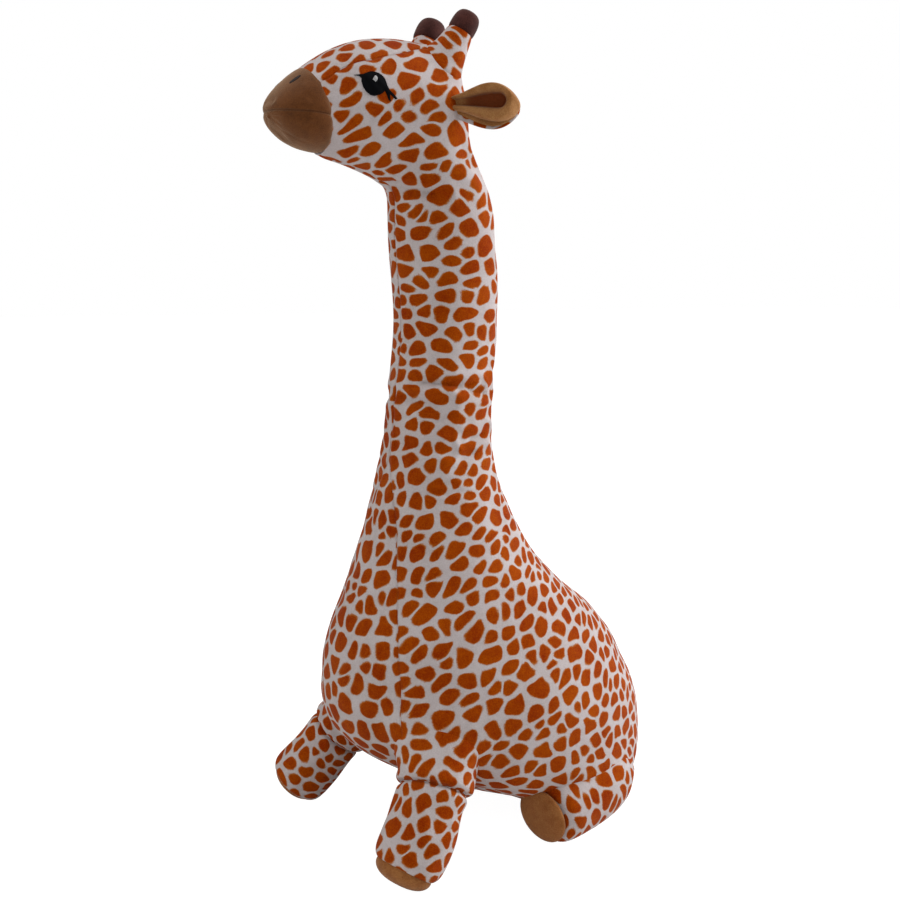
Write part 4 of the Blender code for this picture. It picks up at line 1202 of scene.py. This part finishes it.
def leaf(name, sign, rows, lift, drop, lips=False):
    """A flat leaf laid along the ear and cupped: its edges rise towards the open side."""
    sweep = math.radians(EAR_SWEEP)
    along = Vector((sign * math.cos(sweep), math.sin(sweep), EAR_DROP)).normalized()
    open_way = Vector((sign * math.sin(sweep), -math.cos(sweep), 0)).normalized()
    across = open_way.cross(along).normalized()
    root = side_point(EAR_ROOT[0], EAR_ROOT[1], sign * EAR_ROOT[2])
    made = loft(name, limb_rings(Vector((0, 0, 0)), Vector((0, 0, 1)), rows), 24)
    place = Matrix((across, open_way, along)).transposed().to_4x4()
    place.translation = root + (open_way * lift - across * sign * drop) * MM
    made.matrix_world = place
    pick(made)
    bpy.ops.object.transform_apply(location=True, rotation=True, scale=True)
    lay_cloth(made, 0)
    subdivide_smooth(made, 3)
    points = coords(made)
    ways = (across * sign, along, open_way)
    wide, far, high = ((points - np.array(root)) @ np.array(way) / MM for way in ways)
    rise = EAR_CUP * (wide / 18.0) ** 2
    if lips:
        rise = rise + roll_lips(made, wide, far, high)
    set_coords(made, points + (rise * MM)[:, None] * np.array(open_way))
    return made


ears, ear_linings = {}, {}
for side, sign in SIDES.items():
    ears[side] = leaf(side + "_ear_back", sign, EAR_BACK, lift=-1.5, drop=1.9)
    ear_linings[side] = leaf(side + "_ear_cup", sign, EAR_LINING, lift=1.2, drop=0.0, lips=True)
print("ear lining:", len(ear_linings["left"].data.vertices), "points")

# %% [markdown]
# ## Front legs
# A front leg leaves the body as a thick stump and folds down at a stitched crease, which is also its joint.
# The skin is one loft through the crease: its rings are drawn in there and bulge on both sides. Above the
# crease the side panel of the body runs into the leg without a seam, so the leg's map is turned and shifted
# until its print carries on from the body's. Below the crease the print jumps. The sole is a tan pad,
# pressed flat where it meets the floor.

# %% Front legs
UPPER_DROP, UPPER_TURN = 44.0, 48.0
# For each side: the crease's place (forward, up, across), then the lower leg's drop and turn, and its size
FRONT_LEG_POSES = {"left": ((57.0, 66.0, 87.0), 63.0, 19.6, 1.0),
                   "right": ((52.3, 62.5, 80.9), 50.0, 24.0, 0.965)}
STUMP_ROWS = [(-50, 22, 19), (-44, 29, 25.5), (-32, 31, 27.5), (-16, 30.5, 26.8)]
CREASE_ROWS = [(-7, 30.2, 27), (-3.2, 30.2, 27), (-1.0, 28.4, 24.8), (0.2, 23.6, 20.6), (1.6, 25.8, 22.8),
               (4.8, 28, 25)]
SHIN_ROWS = [(11, 27.6, 25.2), (22, 28.2, 25.8), (36, 29.2, 26.5)]
ANKLE = SHIN_ROWS[-1][0]
# Past the ankle: how much the foot's end turns out of the leg's way, its rows, and its sole's
FOOT_TURN = {"left": Vector((-0.09, -0.14, 0.0)), "right": Vector((-0.16, 0.06, 0.0))}
FOOT_ROWS = {"left": [(12, 28.9, 26.5), (18, 28, 25.8), (22, 26.2, 24.2), (25, 23.8, 21.8), (26.8, 18, 16)],
             "right": [(12, 29, 26.6), (19, 28, 25.8), (23, 25.4, 23.2), (25, 18, 16)]}
SOLE_ROWS = {"left": [(20, 16, 15), (23, 22.2, 20.4), (25.6, 23.6, 21.6), (30, 22.4, 20.4),
                      (34.2, 17, 15.6), (36.2, 8.5, 7.5)],
                      "right": [(20, 20, 18), (22.5, 23.4, 21), (25, 22.4, 20), (28, 18, 16),
                                (29.6, 11, 10), (30.2, 5, 4.5)]}
JOIN_FULLNESS = {"left": 31.0, "right": 11.0}
LEG_COLUMNS, LEG_SEAM_COLUMN = 32, 16


def leg_way(sign, side_turn, drop):
    turned, fall = math.radians(side_turn), math.radians(drop)
    return Vector((sign * math.sin(turned) * math.cos(fall), -math.cos(turned) * math.cos(fall),
                   -math.sin(fall)))


def stuffed_leg(name, rings, density, root, way, held):
    """A leg's skin, unwrapped and stuffed. Held says, from millimetres past the root, what thread holds."""
    leg = loft(name, rings, LEG_COLUMNS)
    lay_cloth(leg, LEG_SEAM_COLUMN, density=density)
    subdivide_smooth(leg, 1)
    stuff(leg, held((coords(leg) - np.array(root)) @ np.array(way) / MM), 1.3)
    subdivide_smooth(leg, 2)
    return leg


def carry_print(obj, skin, chosen, jump):
    """Turns and shifts a limb's map so that the body's print runs on over the join."""
    own_map, skin_map = cloth_map(obj), cloth_map(skin)
    corners = np.empty(len(obj.data.loops), dtype=np.int32)
    obj.data.loops.foreach_get("vertex_index", corners)
    own = np.zeros((len(obj.data.vertices), 2))
    own[corners] = own_map
    aims = []
    for i in chosen:
        _, place, _, face = skin.closest_point_on_mesh(obj.data.vertices[int(i)].co)
        polygon = skin.data.polygons[face]
        weights = poly_3d_calc([skin.data.vertices[v].co for v in polygon.vertices], place)
        aims.append(np.array(weights) @ skin_map[list(polygon.loop_indices)])
    to_complex = np.array([1, 1j])
    start = own[chosen] @ to_complex
    aim = (np.array(aims) + np.array(jump[:2])) @ to_complex
    turned = np.vdot(start - start.mean(), aim - aim.mean())
    turned /= abs(turned)
    moved = (own_map @ to_complex - start.mean()) * turned + aim.mean()
    set_cloth_map(obj, np.stack([moved.real, moved.imag], 1))
    print(obj.name, "carries the body's print on from", len(chosen), "points")


def join_above(root, way, over, full):
    """The radius of a join that is full above the leg and close at its sides."""
    def radius(points):
        out = points - np.array(root)
        out = out - (out @ np.array(way))[:, None] * np.array(way)
        height = (out @ np.array(over)) / np.maximum(np.linalg.norm(out, axis=1), 1e-9)
        return 5.0 + full * fade((height + 0.15) / 0.9)
    return radius


front_legs, soles = {}, {}
for side, sign in SIDES.items():
    (forward, up, across), drop, side_turn, size = FRONT_LEG_POSES[side]
    crease = side_point(forward, up, sign * across)
    upper, lower = leg_way(sign, UPPER_TURN, UPPER_DROP), leg_way(sign, side_turn, drop)
    middle = (upper + lower).normalized()
    foot = (lower + FOOT_TURN[side]).normalized()
    ankle = crease + lower * ANKLE * size * MM
    rings = limb_rings(crease, upper, STUMP_ROWS) + limb_rings(crease, middle, CREASE_ROWS)
    rings += limb_rings(crease, lower, SHIN_ROWS, size) + limb_rings(ankle, foot, FOOT_ROWS[side], size)
    leg = front_legs[side] = stuffed_leg(side + "_front_leg_skin", rings, 1.14, crease, lower,
                                         lambda past: (np.abs(past) < 3) | (past > 55) | (past < -38))
    mark(leg, side=(coords(leg) - np.array(crease)) @ np.array(middle))
    over = (Vector((0, 0, 1)) - upper * upper.z).normalized()
    swell_join(leg, sleeve, crease - upper * 24 * MM, 70,
               join_above(crease, upper, over, JOIN_FULLNESS[side]))
    points = coords(leg)
    on_top = ((points - np.array(crease)) @ np.array(over) > 12 * MM) & (points[:, 0] * sign > 60 * MM)
    on_top &= np.abs(height_above(sleeve, points)) < 4 * MM
    carry_print(leg, sleeve, np.nonzero(on_top)[0], SIDE_JUMP if sign > 0 else (0, 0))
    sole = soles[side + "_front"] = loft(side + "_front_sole_pad",
                                         limb_rings(ankle, foot, SOLE_ROWS[side], size),
                                         LEG_COLUMNS)
    subdivide_smooth(sole, 2)
    points = coords(sole)
    points[:, 2] = np.maximum(points[:, 2], 0.3 * MM)
    set_coords(sole, points)

# %% [markdown]
# ## Hind legs
# The hind legs lie forward beside the body, sewn on at their rear. Each is a plain stuffed loft with a close
# join.

# %% Hind legs
HIND_LEG_SHIFT = (8.0, -4.0, 9.5)
HIND_LEG_TURN, HIND_LEG_DROP = 14.0, 12.5
HIND_LEG_ROWS = [(-19.5, 9, 8), (-17, 16, 14), (-10.5, 22.5, 22), (0, 27.4, 28.6), (13, 30, 31.5),
                 (28, 30.6, 32), (45, 30, 30.8), (60, 29, 29), (69.5, 27.4, 27.2), (74.5, 23, 22.8)]
HIND_SOLE_ROWS = [(73, 19), (76.5, 22.6), (79, 22.2), (81.5, 17.8), (82.6, 9)]
hind_legs = {}
for side, sign in SIDES.items():
    out, back, up = HIND_LEG_SHIFT
    root = Vector(JOINTS[side + "_hind_leg_spread"]["pos_m"]) + Vector((sign * out, back, up)) * MM
    way = leg_way(sign, HIND_LEG_TURN, HIND_LEG_DROP)
    leg = hind_legs[side] = stuffed_leg(side + "_hind_leg_skin", limb_rings(root, way, HIND_LEG_ROWS), 1.08,
                                        root, way,
                                        lambda past: (past > 70) | (past < -14))
    swell_join(leg, sleeve, root, 50, 5.0)
    soles[side + "_hind"] = loft(side + "_hind_sole_pad", limb_rings(root, way, round_rows(HIND_SOLE_ROWS)),
                                 LEG_COLUMNS)
    subdivide_smooth(soles[side + "_hind"], 2)
print("soles:", len(soles))

# %% [markdown]
# ## Tail, tuft and seat
# They can't be seen in the photograph. Such toys have a thin spotted tube with a dark tuft, and a plain
# panel under the seat, so these are made the plain way: a bent loft, a drop-shaped one and a thin oval pad.

# %% Tail, tuft and seat
# Rows of the tail: forward, up and radius
TAIL = [(-170.5, 112, 5.5), (-176, 104, 5.6), (-179.5, 92, 5.6), (-180.5, 78, 5.6), (-178.5, 66, 5.6),
        (-175.5, 54, 5.6), (-173.5, 48.5, 5)]
TUFT_ROOT, TUFT_END = side_point(-174.5, 51), side_point(-168, 28)
TUFT_ROWS = [(-1, 4.5), (3, 6.6), (10, 7.7), (18, 7), (25, 4.2), (27.5, 1.6)]
SEAT_CENTRE_Y = 0.016
# Rows of the seat panel: up, half width and half depth in metres
SEAT_ROWS = [(0.0002, 0.025, 0.023), (0.0006, 0.028, 0.026), (0.0022, 0.028, 0.026), (0.003, 0.025, 0.023)]
places = [side_point(forward, up) for forward, up, _ in TAIL]
ways = [b - a for a, b in zip(places[:1] + places, places[1:] + places[-1:])]
radii = [radius * MM for _, _, radius in TAIL]
rings = [Ring(place, radius, radius, way) for place, radius, way in zip(places, radii, ways)]
tail = loft("tail_skin", rings, 14)
lay_cloth(tail, 7)
subdivide_smooth(tail, 2)
way = (TUFT_END - TUFT_ROOT).normalized()
tuft = loft("tail_tuft_pile", limb_rings(TUFT_ROOT, way, round_rows(TUFT_ROWS)), 14)
subdivide_smooth(tuft, 2)
seat_pad = loft("seat_pad", [Ring((0, SEAT_CENTRE_Y, up), width, depth) for up, width, depth in SEAT_ROWS],
                40)
subdivide_smooth(seat_pad, 1)
print("tail from", round(places[0].z, 3), "to", round(places[-1].z, 3), "m above the ground")

# %% [markdown]
# ## Fabrics, bodies and joints
# Every piece gets its fabric, and the solids that it stands for are hidden. A piece that moves as one rides
# on its body. A skin that runs over a joint is given two bodies and the two places that it would bend
# between, but these are not used: the skin stays fixed where it was built.

# %% Dressing the solids
SMOOTH_BELOW = 60
TORSO_BEND = (side_point(0, 290), side_point(0, 345))
HEAD_BEND = (side_point(0, 430), side_point(0, 515))
LEG_BEND_REACH = 8.0


def finish_piece(obj, material):
    """Smooth shading, one material, and a place held in the mesh."""
    pick(obj)
    bpy.ops.object.transform_apply(location=True, rotation=True, scale=True)
    bpy.ops.object.shade_smooth_by_angle(angle=math.radians(SMOOTH_BELOW))
    obj.data.materials.clear()
    obj.data.materials.append(material)
    if material is SPOTTED_PLUSH and "seam" not in obj.data.attributes:
        mark(obj)


def dress(piece, material, held, solids):
    """Held is one body to ride on, or two bodies and two places between which the skin would bend; in that
    case these are not used, and the skin stays where it is.
    """
    finish_piece(piece, material)
    if len(held) == 1:
        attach(piece, *held)
    else:
        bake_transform(piece)
    if solids:
        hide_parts(*solids)


dress(sleeve, SPOTTED_PLUSH, ("body", "neck", *TORSO_BEND), ("body", "pellet_bag"))
dress(head_skin, SPOTTED_PLUSH, ("neck", "head", *HEAD_BEND), ("head", "neck"))
dress(muzzle, MUZZLE_PLUSH, ("head",), ("muzzle_upper", "muzzle_lower"))
dress(tail, SPOTTED_PLUSH, ("tail",), ("tail",))
dress(tuft, DARK_PLUSH, ("tail",), ("tail_tuft",))
dress(seat_pad, SEAT_FABRIC, ("body",), ("seat_panel",))
for side, sign in SIDES.items():
    ear, front_leg, hind_leg = side + "_ear", side + "_front_leg", side + "_hind_leg"
    crease = Vector(JOINTS[side + "_front_leg_lift"]["pos_m"])
    middle = (leg_way(sign, UPPER_TURN, UPPER_DROP) + leg_way(sign, 24.0, 50.0)).normalized()
    leg_bend = (crease - middle * LEG_BEND_REACH * MM, crease + middle * LEG_BEND_REACH * MM)
    dress(eyes[side], THREAD, ("head",), (side + "_eye",))
    dress(glints[side], GLINT, ("head",), ())
    dress(nostrils[side], NOSTRIL_THREAD, ("head",), ())
    dress(horns[side], SPOTTED_PLUSH, ("head",), (side + "_horn",))
    dress(horn_caps[side], DARK_PLUSH, ("head",), (side + "_horn_tip",))
    dress(ears[side], SPOTTED_PLUSH, (ear,), (ear,))
    dress(ear_linings[side], LINING_PLUSH, (ear,), (side + "_ear_lining",))
    dress(front_legs[side], SPOTTED_PLUSH, ("body", front_leg, *leg_bend), (front_leg, front_leg + "_upper"))
    dress(soles[side + "_front"], TAN_PLUSH, (front_leg,), (side + "_front_sole",))
    dress(hind_legs[side], SPOTTED_PLUSH, (hind_leg,), (hind_leg,))
    dress(soles[side + "_hind"], TAN_PLUSH, (hind_leg,), (side + "_hind_sole",))

# %% [markdown]
# ## Size
# Last, the boxes of the solids and of the skins are printed. The skins may pass it only a little.

# %% Size
visual_box = [list(corner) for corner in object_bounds()]
for name, box in (("solids", cad_box), ("skins", visual_box)):
    print(name, [[round(value, 4) for value in corner] for corner in box])
